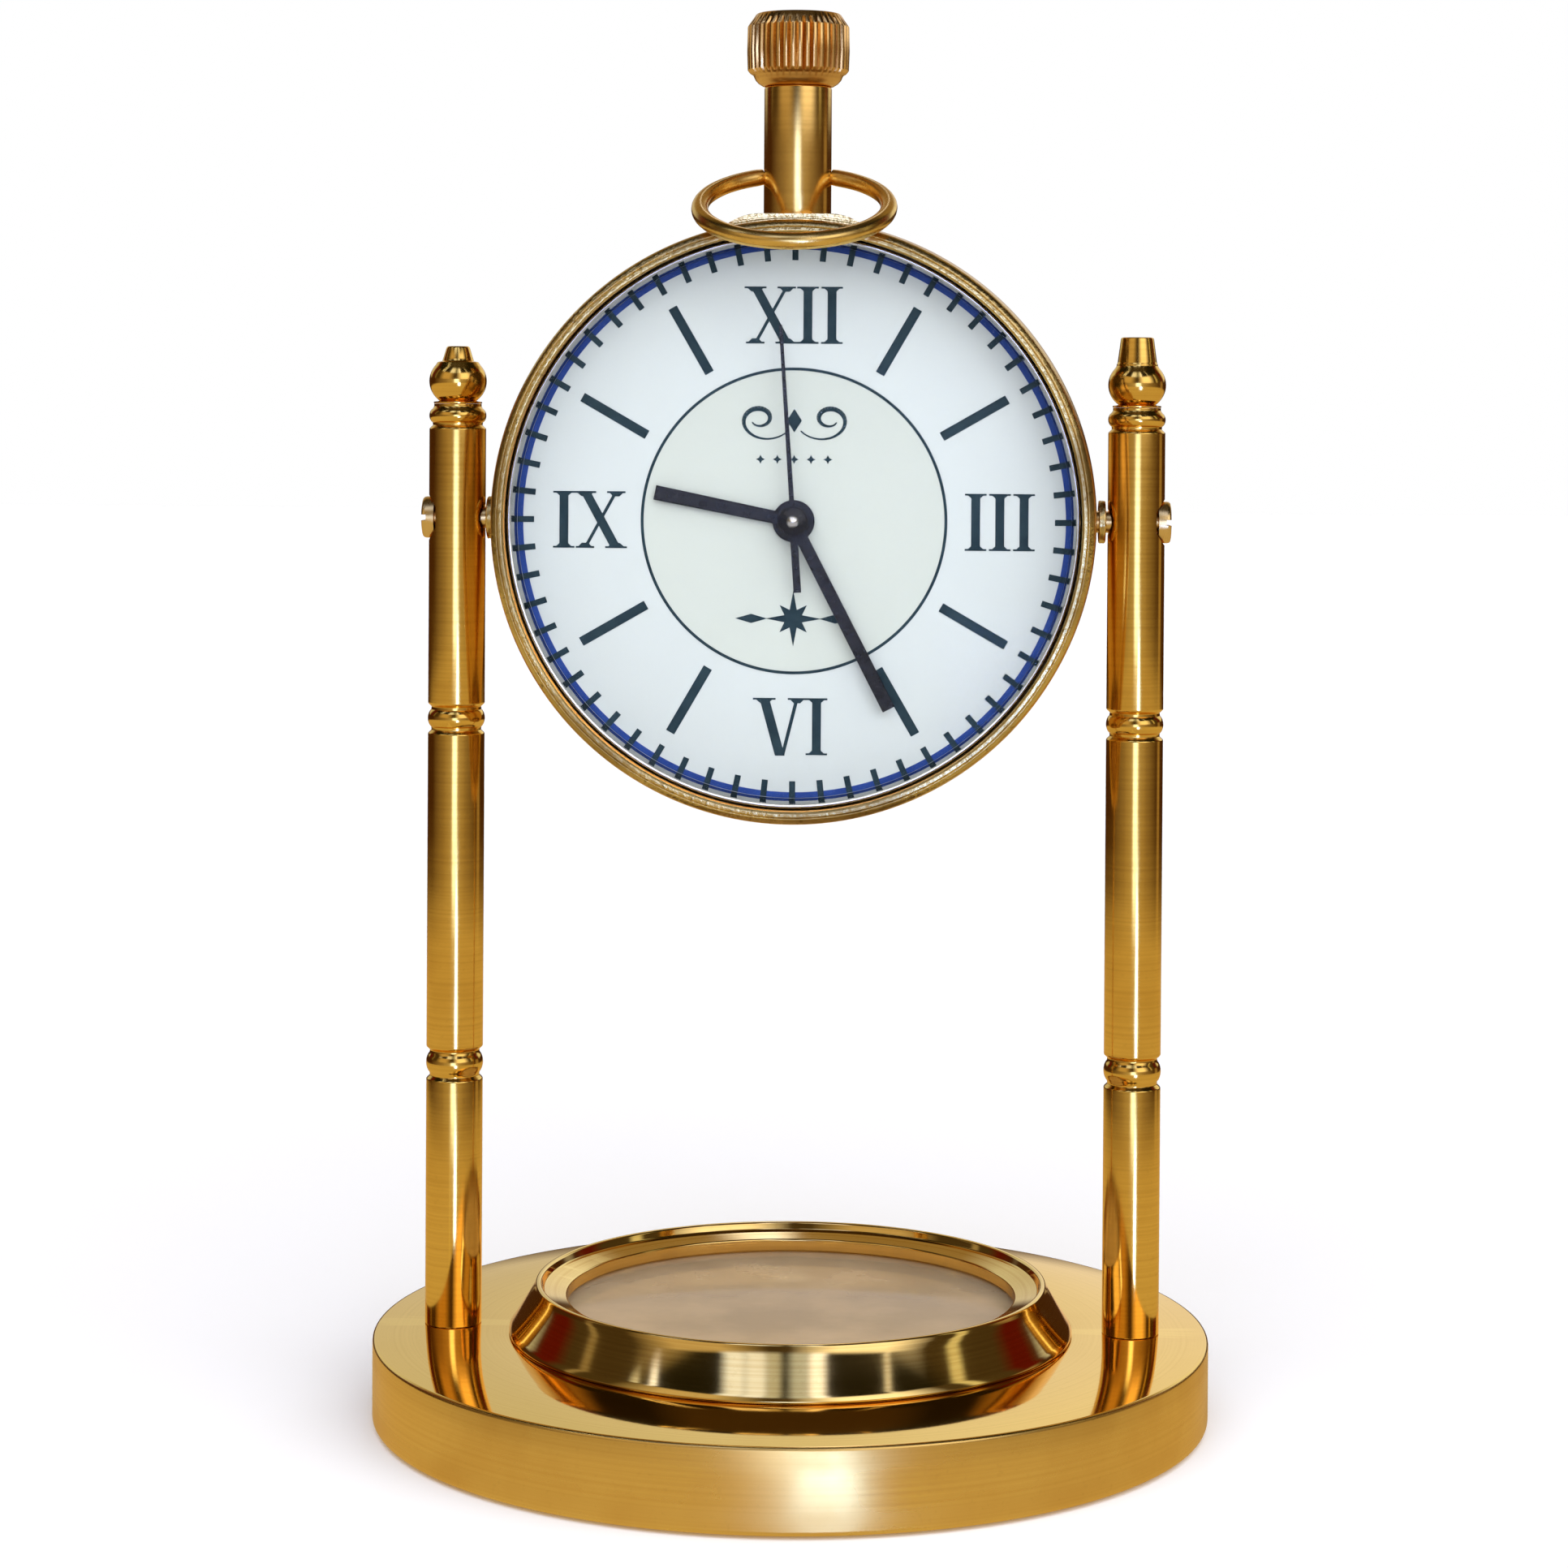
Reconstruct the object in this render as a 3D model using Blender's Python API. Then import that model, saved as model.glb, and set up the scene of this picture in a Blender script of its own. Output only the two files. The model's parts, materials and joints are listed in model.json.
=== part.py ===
"""A brass desk clock: a pocket-watch style head between turned posts, over a base with a compass.

Lengths are metres and +Z is up. X runs to the right of the dial and the dial faces -Y. The origin is at the
centre of the felt under the base, on the surface that the clock stands on.
"""

import math

import bmesh
import bpy
from mathutils import Vector

MM = 0.001

# Gaps: between pieces that touch, and round a shaft in its bore.
GAP = 0.3 * MM
FIT = 0.1 * MM

# Facets round a full turn: outer rings, inner rings, posts, small turned pieces, and bores and arbors.
LARGE = 40
MEDIUM = 24
SLENDER = 16
SMALL = 14
TINY = 8

# Base and its felt.
BASE_RADIUS = 50.0 * MM
BASE_TOP = 10.0 * MM
BASE_UNDERSIDE = 0.4 * MM
BASE_EDGE = 0.5 * MM
FELT_RADIUS = 46.0 * MM
FELT_THICKNESS = 1.2 * MM
WELL_RADIUS = 28.4 * MM
WELL_FLOOR = 3.4 * MM

# Compass.
RING_FOOT_RADIUS = 33.8 * MM
RING_LIP_RADIUS = 30.7 * MM
RING_TOP = 15.9 * MM
RING_INNER_RADIUS = 26.9 * MM
COMPASS_GLASS_TOP = 12.6 * MM
COMPASS_GLASS_THICKNESS = 1.6 * MM
COMPASS_GLASS_RADIUS = 28.0 * MM
CARD_RADIUS = 26.4 * MM
CARD_THICKNESS = 0.4 * MM
NEEDLE_LENGTH = 40.0 * MM
NEEDLE_WIDTH = 5.0 * MM
NEEDLE_THICKNESS = 0.4 * MM
NEEDLE_HEADING = math.radians(35)
PIVOT_TIP = 8.3 * MM

# Posts and finials.
POST_SPACING = 81.6 * MM
POST_RADIUS = 3.4 * MM
POST_GROOVE_RADIUS = 3.05 * MM
POST_COLLAR_TOP = 120.7 * MM
POST_BEADS = ((40.0 * MM, 43.1 * MM), (81.7 * MM, 84.5 * MM), (118.4 * MM, POST_COLLAR_TOP))
FINIAL_NECK_RADIUS = 2.9 * MM
FINIAL_BALL_HEIGHT = 5.1 * MM
FINIAL_STUD_RADIUS = 0.9 * MM
FINIAL_STUD_LENGTH = 4.9 * MM
POST_SCREW_RADIUS = 1.2 * MM
POST_SCREW_HEAD_RADIUS = 3.0 * MM
POST_SCREW_UNDERSIDE = 2.0 * MM
POST_SCREW_SEAT = 4.0 * MM
POST_SCREW_TOP = 20.0 * MM
SLOT_WIDTH = 0.7 * MM
SLOT_DEPTH = 0.6 * MM

# Head: heights above and depths in front of the trunnion axis.
TRUNNION_HEIGHT = 107.3 * MM
TRUNNION_RADIUS = 1.3 * MM
TRUNNION_HEAD_RADIUS = 2.5 * MM
CASE_RADIUS = 36.0 * MM
CASE_INNER_RADIUS = 34.1 * MM
CASE_FRONT = 8.2 * MM
CASE_BACK = -9.2 * MM
BEZEL_RADIUS = 35.5 * MM
BEZEL_FRONT = 12.0 * MM
BEZEL_LIP_RADIUS = 33.9 * MM
CRYSTAL_RADIUS = 34.2 * MM
CRYSTAL_BACK = 9.4 * MM
CRYSTAL_THICKNESS = 1.8 * MM
CRYSTAL_RISE = 2.2 * MM
DIAL_RADIUS = 33.7 * MM
DIAL_VISIBLE_RADIUS = 32.9 * MM
DIAL_BACK = 4.7 * MM
DIAL_FRONT = 5.2 * MM
SADDLE_HALF_WIDTH = 8.6 * MM
SADDLE_SHOULDER = 5.6 * MM
SADDLE_LOW = 34.2 * MM
SADDLE_HALF_DEPTH = 8.0 * MM
SADDLE_TOP = 36.3 * MM

# Neck, bow and crown: heights above the trunnion axis.
NECK_RADIUS = 4.05 * MM
NECK_BORE = 1.5 * MM
NECK_TOP = 51.6 * MM
CROWN_RADIUS = 6.15 * MM
CROWN_HEIGHT = 8.7 * MM
CROWN_FLUTES = 42
CROWN_FLUTE_DEPTH = 0.22 * MM
BOW_PIVOT = 41.1 * MM
BOW_RADIUS = 11.5 * MM
BOW_OVAL = 0.965  # width of the ring over its length
BOW_WIRE_RADIUS = 1.0 * MM
BOW_STUB_RADIUS = 0.6 * MM
BOW_DROOP = math.radians(23.5)
STEM_RADIUS = 0.7 * MM
STEM_INNER_END = 8.5 * MM
YOKE_HEIGHT = 11.6 * MM

# Hands, as angles clockwise from twelve.
HOUR_ANGLE = math.radians(281)
MINUTE_ANGLE = math.radians(152.5)
SECONDS_ANGLE = math.radians(356)
HOUR_LENGTH = 16.8 * MM
MINUTE_LENGTH = 24.9 * MM
SECONDS_LENGTH = 23.2 * MM
SECONDS_TAIL = 8.4 * MM
HOUR_HAND_DEPTH = 5.8 * MM
MINUTE_HAND_DEPTH = 6.7 * MM
SECONDS_HAND_DEPTH = 7.6 * MM
HAND_THICKNESS = 0.4 * MM

# Movement: depths in front of the trunnion axis.
MOVEMENT_RADIUS = 15.2 * MM
MOVEMENT_WALL = 0.8 * MM
PLATE_BACK = 3.6 * MM
PLATE_FRONT = 4.4 * MM
HOUSING_BACK = -5.8 * MM
HOUSING_FLOOR = -5.0 * MM
WHEEL_THICKNESS = 0.8 * MM
HOUR_LAYER = 2.5 * MM
MINUTE_LAYER = 1.4 * MM
CENTRE_LAYER = 0.3 * MM
THIRD_LAYER = -0.8 * MM
SECONDS_LAYER = -1.9 * MM
ROTOR_LAYER = -3.0 * MM
MAGNET_LAYER = -4.5 * MM
ARBOR_RADIUS = 0.3 * MM
CANNON_BORE = 0.5 * MM
CANNON_RADIUS = 0.85 * MM
HOUR_PIPE_BORE = 1.05 * MM
HOUR_PIPE_RADIUS = 1.4 * MM
ARBOR_BACK = -5.6 * MM
BRIDGE_BACK = -0.8 * MM
BRIDGE_FRONT = -0.1 * MM
BRIDGE_PILLARS = ((-3.0 * MM, -6.2 * MM), (7.3 * MM, -9.8 * MM))

# Gear train: teeth of each meshing pair, driver first, and the first wheel's module.
ROTOR_TEETH, INTERMEDIATE_TEETH = 6, 36
INTERMEDIATE_PINION_TEETH, SECONDS_TEETH = 6, 30
SECONDS_PINION_TEETH, THIRD_TEETH = 6, 48
THIRD_PINION_TEETH, CENTRE_TEETH = 6, 45
CANNON_TEETH, MOTION_TEETH = 8, 24
MOTION_PINION_TEETH, HOUR_TEETH = 6, 24
TRAIN_MODULE = 0.2 * MM
ROTOR_MODULE = 0.16 * MM
MOTION_MODULE = 0.25 * MM

# Battery and electronics, in the dial's plane.
BATTERY_PLACE = (6.6 * MM, 5.0 * MM)
BATTERY_RADIUS = 4.75 * MM
BATTERY_THICKNESS = 2.6 * MM
STRAP_TURN = math.radians(127)
BOARD_PLACE = (-9.0 * MM, 1.0 * MM)
BOARD_SIZE = (5.4 * MM, 12.0 * MM)
COIL_HEIGHT = -11.0 * MM


# ---------------------------------------------------------------- materials

PALETTE = {
    "polished_brass": ((0.62, 0.42, 0.12), 0.16, 1.0),
    "satin_brass": ((0.55, 0.36, 0.10), 0.32, 1.0),
    "glass": ((0.90, 0.93, 0.92), 0.04, 0.0),
    "dial_white": ((0.80, 0.84, 0.88), 0.45, 0.0),
    "black_enamel": ((0.01, 0.01, 0.012), 0.25, 0.0),
    "green_felt": ((0.02, 0.09, 0.05), 0.95, 0.0),
    "steel": ((0.45, 0.46, 0.48), 0.30, 1.0),
    "black_plastic": ((0.02, 0.02, 0.02), 0.50, 0.0),
    "white_plastic": ((0.70, 0.70, 0.68), 0.45, 0.0),
    "black_rubber": ((0.015, 0.015, 0.015), 0.80, 0.0),
    "card": ((0.60, 0.57, 0.50), 0.70, 0.0),
    "copper_wire": ((0.55, 0.20, 0.08), 0.40, 1.0),
    "circuit_green": ((0.02, 0.14, 0.06), 0.50, 0.0),
}


def material(name):
    """The palette's material of that name, made the first time it is asked for."""
    found = bpy.data.materials.get(name)
    if found:
        return found
    colour, roughness, metallic = PALETTE[name]
    made = bpy.data.materials.new(name)
    made.use_nodes = True
    shader = made.node_tree.nodes["Principled BSDF"]
    shader.inputs["Base Color"].default_value = (*colour, 1.0)
    shader.inputs["Roughness"].default_value = roughness
    shader.inputs["Metallic"].default_value = metallic
    return made


# ---------------------------------------------------------------- modelling helpers


def clear_scene():
    """Remove every object of the start-up scene."""
    for item in list(bpy.data.objects):
        bpy.data.objects.remove(item, do_unlink=True)


def place(item, parent, at, turn):
    """Link an object into the scene under its parent."""
    bpy.context.collection.objects.link(item)
    item.parent = parent
    item.location = at
    item.rotation_euler = turn
    return item


def frame(name, parent=None, at=(0, 0, 0), turn=(0, 0, 0)):
    """An empty that pieces are placed in."""
    return place(bpy.data.objects.new(name, None), parent, at, turn)


def finish_mesh(name, bm):
    """Turn a bmesh into a closed mesh with its faces outwards, smooth but for its corners."""
    bmesh.ops.remove_doubles(bm, verts=bm.verts, dist=1e-6)
    bmesh.ops.recalc_face_normals(bm, faces=bm.faces)
    mesh = bpy.data.meshes.new(name)
    bm.to_mesh(mesh)
    bm.free()
    mesh.shade_smooth()
    mesh.set_sharp_from_angle(angle=math.radians(32))
    return mesh


def piece(name, mesh, look, parent=None, at=(0, 0, 0), turn=(0, 0, 0)):
    """An object with its material."""
    mesh.materials.append(material(look))
    return place(bpy.data.objects.new(name, mesh), parent, at, turn)


def turned(name, outline, steps):
    """A solid turned about Z from a closed outline of (radius, height) points."""
    bm = bmesh.new()
    verts = [bm.verts.new((radius, 0, height)) for radius, height in outline]
    edges = [bm.edges.new((verts[i - 1], verts[i])) for i in range(len(verts))]
    on_axis = [e for e in edges if all(v.co.x == 0 for v in e.verts)]
    bmesh.ops.delete(bm, geom=on_axis, context="EDGES")
    bmesh.ops.spin(
        bm,
        geom=[e for e in edges if e.is_valid],
        axis=(0, 0, 1),
        cent=(0, 0, 0),
        angle=math.tau,
        steps=steps,
        use_merge=True,
    )
    return finish_mesh(name, bm)


def plate(name, outlines, back, front):
    """A flat solid between two depths, from one closed outline and any holes in it."""
    bm = bmesh.new()
    for outline in outlines:
        verts = [bm.verts.new((x, y, back)) for x, y in outline]
        for i in range(len(verts)):
            bm.edges.new((verts[i - 1], verts[i]))
    filled = bmesh.ops.triangle_fill(bm, use_beauty=True, edges=bm.edges)
    faces = [g for g in filled["geom"] if isinstance(g, bmesh.types.BMFace)]
    raised = bmesh.ops.extrude_face_region(bm, geom=faces)
    moved = [g for g in raised["geom"] if isinstance(g, bmesh.types.BMVert)]
    bmesh.ops.translate(bm, verts=moved, vec=(0, 0, front - back))
    return finish_mesh(name, bm)


def circle(radius, steps, centre=(0, 0)):
    """Points round a circle."""
    turns = [math.tau * i / steps for i in range(steps)]
    return [(centre[0] + radius * math.cos(a), centre[1] + radius * math.sin(a)) for a in turns]


def rectangle(left, right, bottom, top):
    """The corners of a rectangle."""
    return [(left, bottom), (right, bottom), (right, top), (left, top)]


def arc(centre, radius, start, end, steps):
    """Points along an arc, with its angles in degrees."""
    angles = [math.radians(start + (end - start) * i / steps) for i in range(steps + 1)]
    return [(centre[0] + radius * math.cos(a), centre[1] + radius * math.sin(a)) for a in angles]


def cylinder(name, radius, bottom, top, steps):
    """A plain cylinder about Z."""
    return turned(name, [(0, top), (radius, top), (radius, bottom), (0, bottom)], steps)


def combine(target, operation, mesh, at=(0, 0, 0), turn=(0, 0, 0)):
    """Join a shape to a piece or cut it away, with the shape placed in the piece's own axes."""
    name = f"guide_{target.name}_{len(target.modifiers)}"
    guide = place(bpy.data.objects.new(name, mesh), target, at, turn)
    guide.hide_render = True
    guide.display_type = "WIRE"
    modifier = target.modifiers.new(operation.lower(), "BOOLEAN")
    modifier.operation = operation
    modifier.solver = "EXACT"
    modifier.object = guide


def polar(distance, degrees):
    """A point at a distance and an angle from the centre."""
    return Vector((distance * math.cos(math.radians(degrees)), distance * math.sin(math.radians(degrees))))


# Turns that lay a shape's Z axis along X or Y.
ALONG_X = (0, math.pi / 2, 0)
ALONG_Y = (-math.pi / 2, 0, 0)


# ---------------------------------------------------------------- base


def build_base():
    """The turned base with its compass well, and the felt under it."""
    felt_ceiling = FELT_THICKNESS + GAP
    outline = [
        (0, WELL_FLOOR),
        (WELL_RADIUS, WELL_FLOOR),
        (WELL_RADIUS, BASE_TOP),
        (BASE_RADIUS - BASE_EDGE, BASE_TOP),
        (BASE_RADIUS, BASE_TOP - BASE_EDGE),
        (BASE_RADIUS, BASE_UNDERSIDE + BASE_EDGE),
        (BASE_RADIUS - BASE_EDGE, BASE_UNDERSIDE),
        (FELT_RADIUS + GAP, BASE_UNDERSIDE),
        (FELT_RADIUS + GAP, felt_ceiling),
        (0, felt_ceiling),
    ]
    base = piece("base", turned("base", outline, LARGE), "polished_brass")
    for side in (-1, 1):
        at = (side * POST_SPACING / 2, 0, 0)
        hole = cylinder("hole", POST_SCREW_RADIUS + GAP, 0, BASE_TOP + 1 * MM, TINY)
        combine(base, "DIFFERENCE", hole, at)
        sink = cylinder("sink", POST_SCREW_HEAD_RADIUS + GAP, 0, POST_SCREW_SEAT + GAP, SMALL)
        combine(base, "DIFFERENCE", sink, at)
    felt = cylinder("base_felt", FELT_RADIUS, 0, FELT_THICKNESS, LARGE)
    piece("base_felt", felt, "green_felt")


def build_post_screw(name, side):
    """The slotted screw that draws a post down on the base."""
    outline = [
        (0, POST_SCREW_TOP),
        (POST_SCREW_RADIUS, POST_SCREW_TOP),
        (POST_SCREW_RADIUS, POST_SCREW_SEAT),
        (POST_SCREW_HEAD_RADIUS, POST_SCREW_SEAT),
        (POST_SCREW_HEAD_RADIUS, POST_SCREW_UNDERSIDE),
        (0, POST_SCREW_UNDERSIDE),
    ]
    at = (side * POST_SPACING / 2, 0, 0)
    screw = piece(name, turned(name, outline, SMALL), "steel", at=at)
    width = POST_SCREW_HEAD_RADIUS + 1 * MM
    across = rectangle(-width, width, -SLOT_WIDTH / 2, SLOT_WIDTH / 2)
    slot = plate("slot", [across], POST_SCREW_UNDERSIDE - 1 * MM, POST_SCREW_UNDERSIDE + SLOT_DEPTH)
    combine(screw, "DIFFERENCE", slot)


# ---------------------------------------------------------------- compass


def build_compass_ring():
    """The flared ring: a lip, a flat land, and a wall down to the glass."""
    foot = BASE_TOP + GAP
    seat = COMPASS_GLASS_TOP + GAP
    flare = arc((42.6 * MM, 19.4 * MM), 12.3 * MM, 198, 222, 3)
    outline = [
        (RING_FOOT_RADIUS, foot),
        (COMPASS_GLASS_RADIUS + GAP, foot),
        (COMPASS_GLASS_RADIUS + GAP, seat),
        (RING_INNER_RADIUS, seat),
        (RING_INNER_RADIUS, 14.4 * MM),
        (29.6 * MM, 15.0 * MM),
        (29.9 * MM, RING_TOP),
        (RING_LIP_RADIUS - 0.2 * MM, RING_TOP),
        (RING_LIP_RADIUS, RING_TOP - 0.3 * MM),
        *flare[1:3],
        (RING_FOOT_RADIUS, foot + 0.5 * MM),
    ]
    piece("compass_ring", turned("compass_ring", outline, LARGE), "polished_brass")


def build_compass_capsule():
    """The glass, its gasket, the bowl and the printed card."""
    glass_back = COMPASS_GLASS_TOP - COMPASS_GLASS_THICKNESS
    glass = cylinder("compass_glass", COMPASS_GLASS_RADIUS, glass_back, COMPASS_GLASS_TOP, MEDIUM)
    piece("compass_glass", glass, "glass")
    inner = CARD_RADIUS + GAP
    gasket_top = glass_back - GAP
    gasket = [
        (inner, gasket_top),
        (COMPASS_GLASS_RADIUS, gasket_top),
        (COMPASS_GLASS_RADIUS, gasket_top - 0.5 * MM),
        (inner, gasket_top - 0.5 * MM),
    ]
    piece("compass_gasket", turned("compass_gasket", gasket, MEDIUM), "black_rubber")
    rim = gasket_top - 0.5 * MM - GAP
    floor = WELL_FLOOR + GAP
    bowl = [
        (0, floor),
        (COMPASS_GLASS_RADIUS, floor),
        (COMPASS_GLASS_RADIUS, rim),
        (inner, rim),
        (inner, floor + 0.8 * MM),
        (0, floor + 0.8 * MM),
    ]
    piece("compass_bowl", turned("compass_bowl", bowl, MEDIUM), "white_plastic")
    card_back = floor + 0.8 * MM + GAP
    card = [
        (1.6 * MM, card_back),
        (CARD_RADIUS, card_back),
        (CARD_RADIUS, card_back + CARD_THICKNESS),
        (1.6 * MM, card_back + CARD_THICKNESS),
    ]
    piece("compass_card", turned("compass_card", card, MEDIUM), "card")
    pivot = [
        (0, PIVOT_TIP),
        (0.4 * MM, PIVOT_TIP - 1.2 * MM),
        (0.4 * MM, card_back + 1 * MM),
        (1.2 * MM, card_back + 0.6 * MM),
        (1.2 * MM, card_back),
        (0, card_back),
    ]
    piece("compass_pivot", turned("compass_pivot", pivot, TINY), "steel")


def build_compass_needle():
    """The lozenge needle and the cap that it turns on."""
    turn = (0, 0, NEEDLE_HEADING)
    axis = frame("compass_axis", at=(0, 0, 0), turn=turn)
    tip, side = NEEDLE_LENGTH / 2, NEEDLE_WIDTH / 2
    outline = [(0, -tip), (side, 0), (0, tip), (-side, 0)]
    back = PIVOT_TIP - 1.0 * MM
    front = back + NEEDLE_THICKNESS
    needle = plate("compass_needle", [outline, circle(1.5 * MM, SMALL)], back, front)
    piece("compass_needle", needle, "steel", axis)
    cap = [
        (0, PIVOT_TIP + GAP),
        (0.7 * MM, back - 0.6 * MM),
        (1.3 * MM, back - 0.6 * MM),
        (1.3 * MM, front + 0.6 * MM),
        (0.6 * MM, PIVOT_TIP + 1.1 * MM),
        (0, PIVOT_TIP + 1.1 * MM),
    ]
    piece("needle_cap", turned("needle_cap", cap, SMALL), "polished_brass", axis)


# ---------------------------------------------------------------- posts


def bead(bottom, top):
    """A rounded bead between two shallow grooves, from its top down."""
    shoulder = 0.25 * MM
    return [
        (POST_RADIUS, top + shoulder),
        (POST_GROOVE_RADIUS, top),
        (POST_RADIUS, (bottom + top) / 2),
        (POST_GROOVE_RADIUS, bottom),
        (POST_RADIUS, bottom - shoulder),
    ]


def build_post(name, side):
    """A turned post with three beads, bored for its screw, its finial and its trunnion."""
    foot = BASE_TOP + GAP
    lower, upper, collar = (bead(*span) for span in POST_BEADS)
    screw_bore = POST_SCREW_RADIUS + GAP
    stud_bore = FINIAL_STUD_RADIUS + GAP
    outline = [
        (0, POST_COLLAR_TOP - FINIAL_STUD_LENGTH - GAP),
        (stud_bore, POST_COLLAR_TOP - FINIAL_STUD_LENGTH - GAP),
        (stud_bore, POST_COLLAR_TOP),
        (FINIAL_NECK_RADIUS, POST_COLLAR_TOP),
        *collar[2:],
        *upper,
        *lower,
        (POST_RADIUS, foot),
        (screw_bore, foot),
        (screw_bore, POST_SCREW_TOP + 1 * MM),
        (0, POST_SCREW_TOP + 1 * MM),
    ]
    at = (side * POST_SPACING / 2, 0, 0)
    post = piece(name, turned(name, outline, SLENDER), "polished_brass", at=at)
    bore = cylinder("bore", TRUNNION_RADIUS + GAP, -5 * MM, 5 * MM, TINY)
    combine(post, "DIFFERENCE", bore, (0, 0, TRUNNION_HEIGHT), ALONG_X)
    sink = cylinder("sink", TRUNNION_HEAD_RADIUS + GAP, 0, 3 * MM, SMALL)
    seat = side * 2.3 * MM
    combine(post, "DIFFERENCE", sink, (seat, 0, TRUNNION_HEIGHT), (0, side * math.pi / 2, 0))


def build_finial(name, side, button_height, button_foot, button_top):
    """A ball finial with a button on it, screwed into the post. The buttons differ from side to side."""
    bottom = POST_COLLAR_TOP + GAP
    top = bottom + FINIAL_BALL_HEIGHT
    middle = (bottom + top) / 2 + 0.2 * MM
    tip = top + button_height
    outline = [
        (0, tip),
        (button_top - 0.2 * MM, tip),
        (button_top, tip - 0.2 * MM),
        (button_foot, top + 0.3 * MM),
        (button_foot, top),
        (2.7 * MM, top - 0.4 * MM),
        (POST_RADIUS, middle + 0.9 * MM),
        (POST_RADIUS + 0.05 * MM, middle),
        (POST_RADIUS - 0.1 * MM, middle - 1.1 * MM),
        (FINIAL_NECK_RADIUS, bottom),
        (FINIAL_STUD_RADIUS, bottom),
        (FINIAL_STUD_RADIUS, bottom - FINIAL_STUD_LENGTH),
        (0, bottom - FINIAL_STUD_LENGTH),
    ]
    at = (side * POST_SPACING / 2, 0, 0)
    piece(name, turned(name, outline, SLENDER), "polished_brass", at=at)


# ---------------------------------------------------------------- head casing


def build_case(dial_frame):
    """The drum of the head, with the saddle that carries the neck."""
    outline = [
        (CASE_INNER_RADIUS, CASE_FRONT),
        (CASE_RADIUS - 0.8 * MM, CASE_FRONT),
        (CASE_RADIUS - 0.2 * MM, CASE_FRONT - 2.2 * MM),
        (CASE_RADIUS, CASE_FRONT - 5.5 * MM),
        (CASE_RADIUS, CASE_BACK + 5.5 * MM),
        (CASE_RADIUS - 0.3 * MM, CASE_BACK + 2.0 * MM),
        (CASE_RADIUS - 1.0 * MM, CASE_BACK),
        (CASE_INNER_RADIUS, CASE_BACK),
    ]
    case = piece("case_body", turned("case_body", outline, LARGE), "satin_brass", dial_frame)
    saddle = [
        (-SADDLE_HALF_WIDTH, SADDLE_LOW),
        (SADDLE_HALF_WIDTH, SADDLE_LOW),
        (SADDLE_SHOULDER, SADDLE_TOP),
        (-SADDLE_SHOULDER, SADDLE_TOP),
    ]
    combine(case, "UNION", plate("saddle", [saddle], -SADDLE_HALF_DEPTH, SADDLE_HALF_DEPTH))
    stem_bore = cylinder("stem_bore", NECK_BORE, 30 * MM, 40 * MM, TINY)
    combine(case, "DIFFERENCE", stem_bore, turn=ALONG_Y)
    trunnion_bore = cylinder("trunnion_bore", TRUNNION_RADIUS + GAP, -40 * MM, 40 * MM, TINY)
    combine(case, "DIFFERENCE", trunnion_bore, turn=ALONG_X)


def build_bezel(dial_frame):
    """The front ring that holds the crystal on the case."""
    back = CASE_FRONT + GAP
    lip_back = CRYSTAL_BACK + CRYSTAL_THICKNESS + GAP
    outline = [
        (CRYSTAL_RADIUS + GAP, back),
        (CRYSTAL_RADIUS + GAP, lip_back),
        (BEZEL_LIP_RADIUS, lip_back),
        (BEZEL_LIP_RADIUS, BEZEL_FRONT - 0.2 * MM),
        (BEZEL_LIP_RADIUS + 0.2 * MM, BEZEL_FRONT),
        (BEZEL_RADIUS - 0.8 * MM, BEZEL_FRONT),
        (BEZEL_RADIUS - 0.2 * MM, BEZEL_FRONT - 0.6 * MM),
        (BEZEL_RADIUS, BEZEL_FRONT - 1.5 * MM),
        (BEZEL_RADIUS, back + 0.4 * MM),
        (BEZEL_RADIUS - 0.2 * MM, back),
    ]
    piece("bezel", turned("bezel", outline, LARGE), "satin_brass", dial_frame)


def dome(back, rise, radius, steps):
    """Points along a shallow dome, from its centre to its edge."""
    return [(radius * i / steps, back + rise * (1 - (i / steps) ** 2)) for i in range(steps + 1)]


def build_crystal(dial_frame):
    """The domed glass over the dial."""
    edge = CRYSTAL_BACK + CRYSTAL_THICKNESS
    inner = dome(CRYSTAL_BACK, CRYSTAL_RISE, CRYSTAL_RADIUS - 0.9 * MM, 2)
    outer = dome(edge, CRYSTAL_RISE, CRYSTAL_RADIUS - 0.6 * MM, 3)
    outline = [*reversed(outer), *inner, (CRYSTAL_RADIUS, CRYSTAL_BACK), (CRYSTAL_RADIUS, edge)]
    piece("crystal", turned("crystal", outline, LARGE), "glass", dial_frame)


def build_dial(dial_frame):
    """The dial, and the polished ring that stands round it under the crystal."""
    dial = plate("dial", [circle(DIAL_RADIUS, LARGE), circle(2.2 * MM, SMALL)], DIAL_BACK, DIAL_FRONT)
    piece("dial", dial, "dial_white", dial_frame)
    back, front = DIAL_FRONT + GAP, CRYSTAL_BACK - GAP
    ring = [
        (DIAL_RADIUS, back),
        (DIAL_RADIUS, front),
        (DIAL_VISIBLE_RADIUS + 0.4 * MM, front),
        (DIAL_VISIBLE_RADIUS, back),
    ]
    piece("dial_ring", turned("dial_ring", ring, MEDIUM), "steel", dial_frame)


def build_back_cover(dial_frame):
    """The cover that snaps into the back of the case."""
    seat = CASE_BACK - GAP
    outline = [
        (0, seat + 1.2 * MM),
        (DIAL_RADIUS, seat + 1.2 * MM),
        (DIAL_RADIUS, seat),
        (CASE_RADIUS - 1.0 * MM, seat),
        (CASE_RADIUS - 1.6 * MM, seat - 1.0 * MM),
        (28 * MM, seat - 1.6 * MM),
        (0, seat - 1.9 * MM),
    ]
    piece("back_cover", turned("back_cover", outline, LARGE), "satin_brass", dial_frame)


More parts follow.
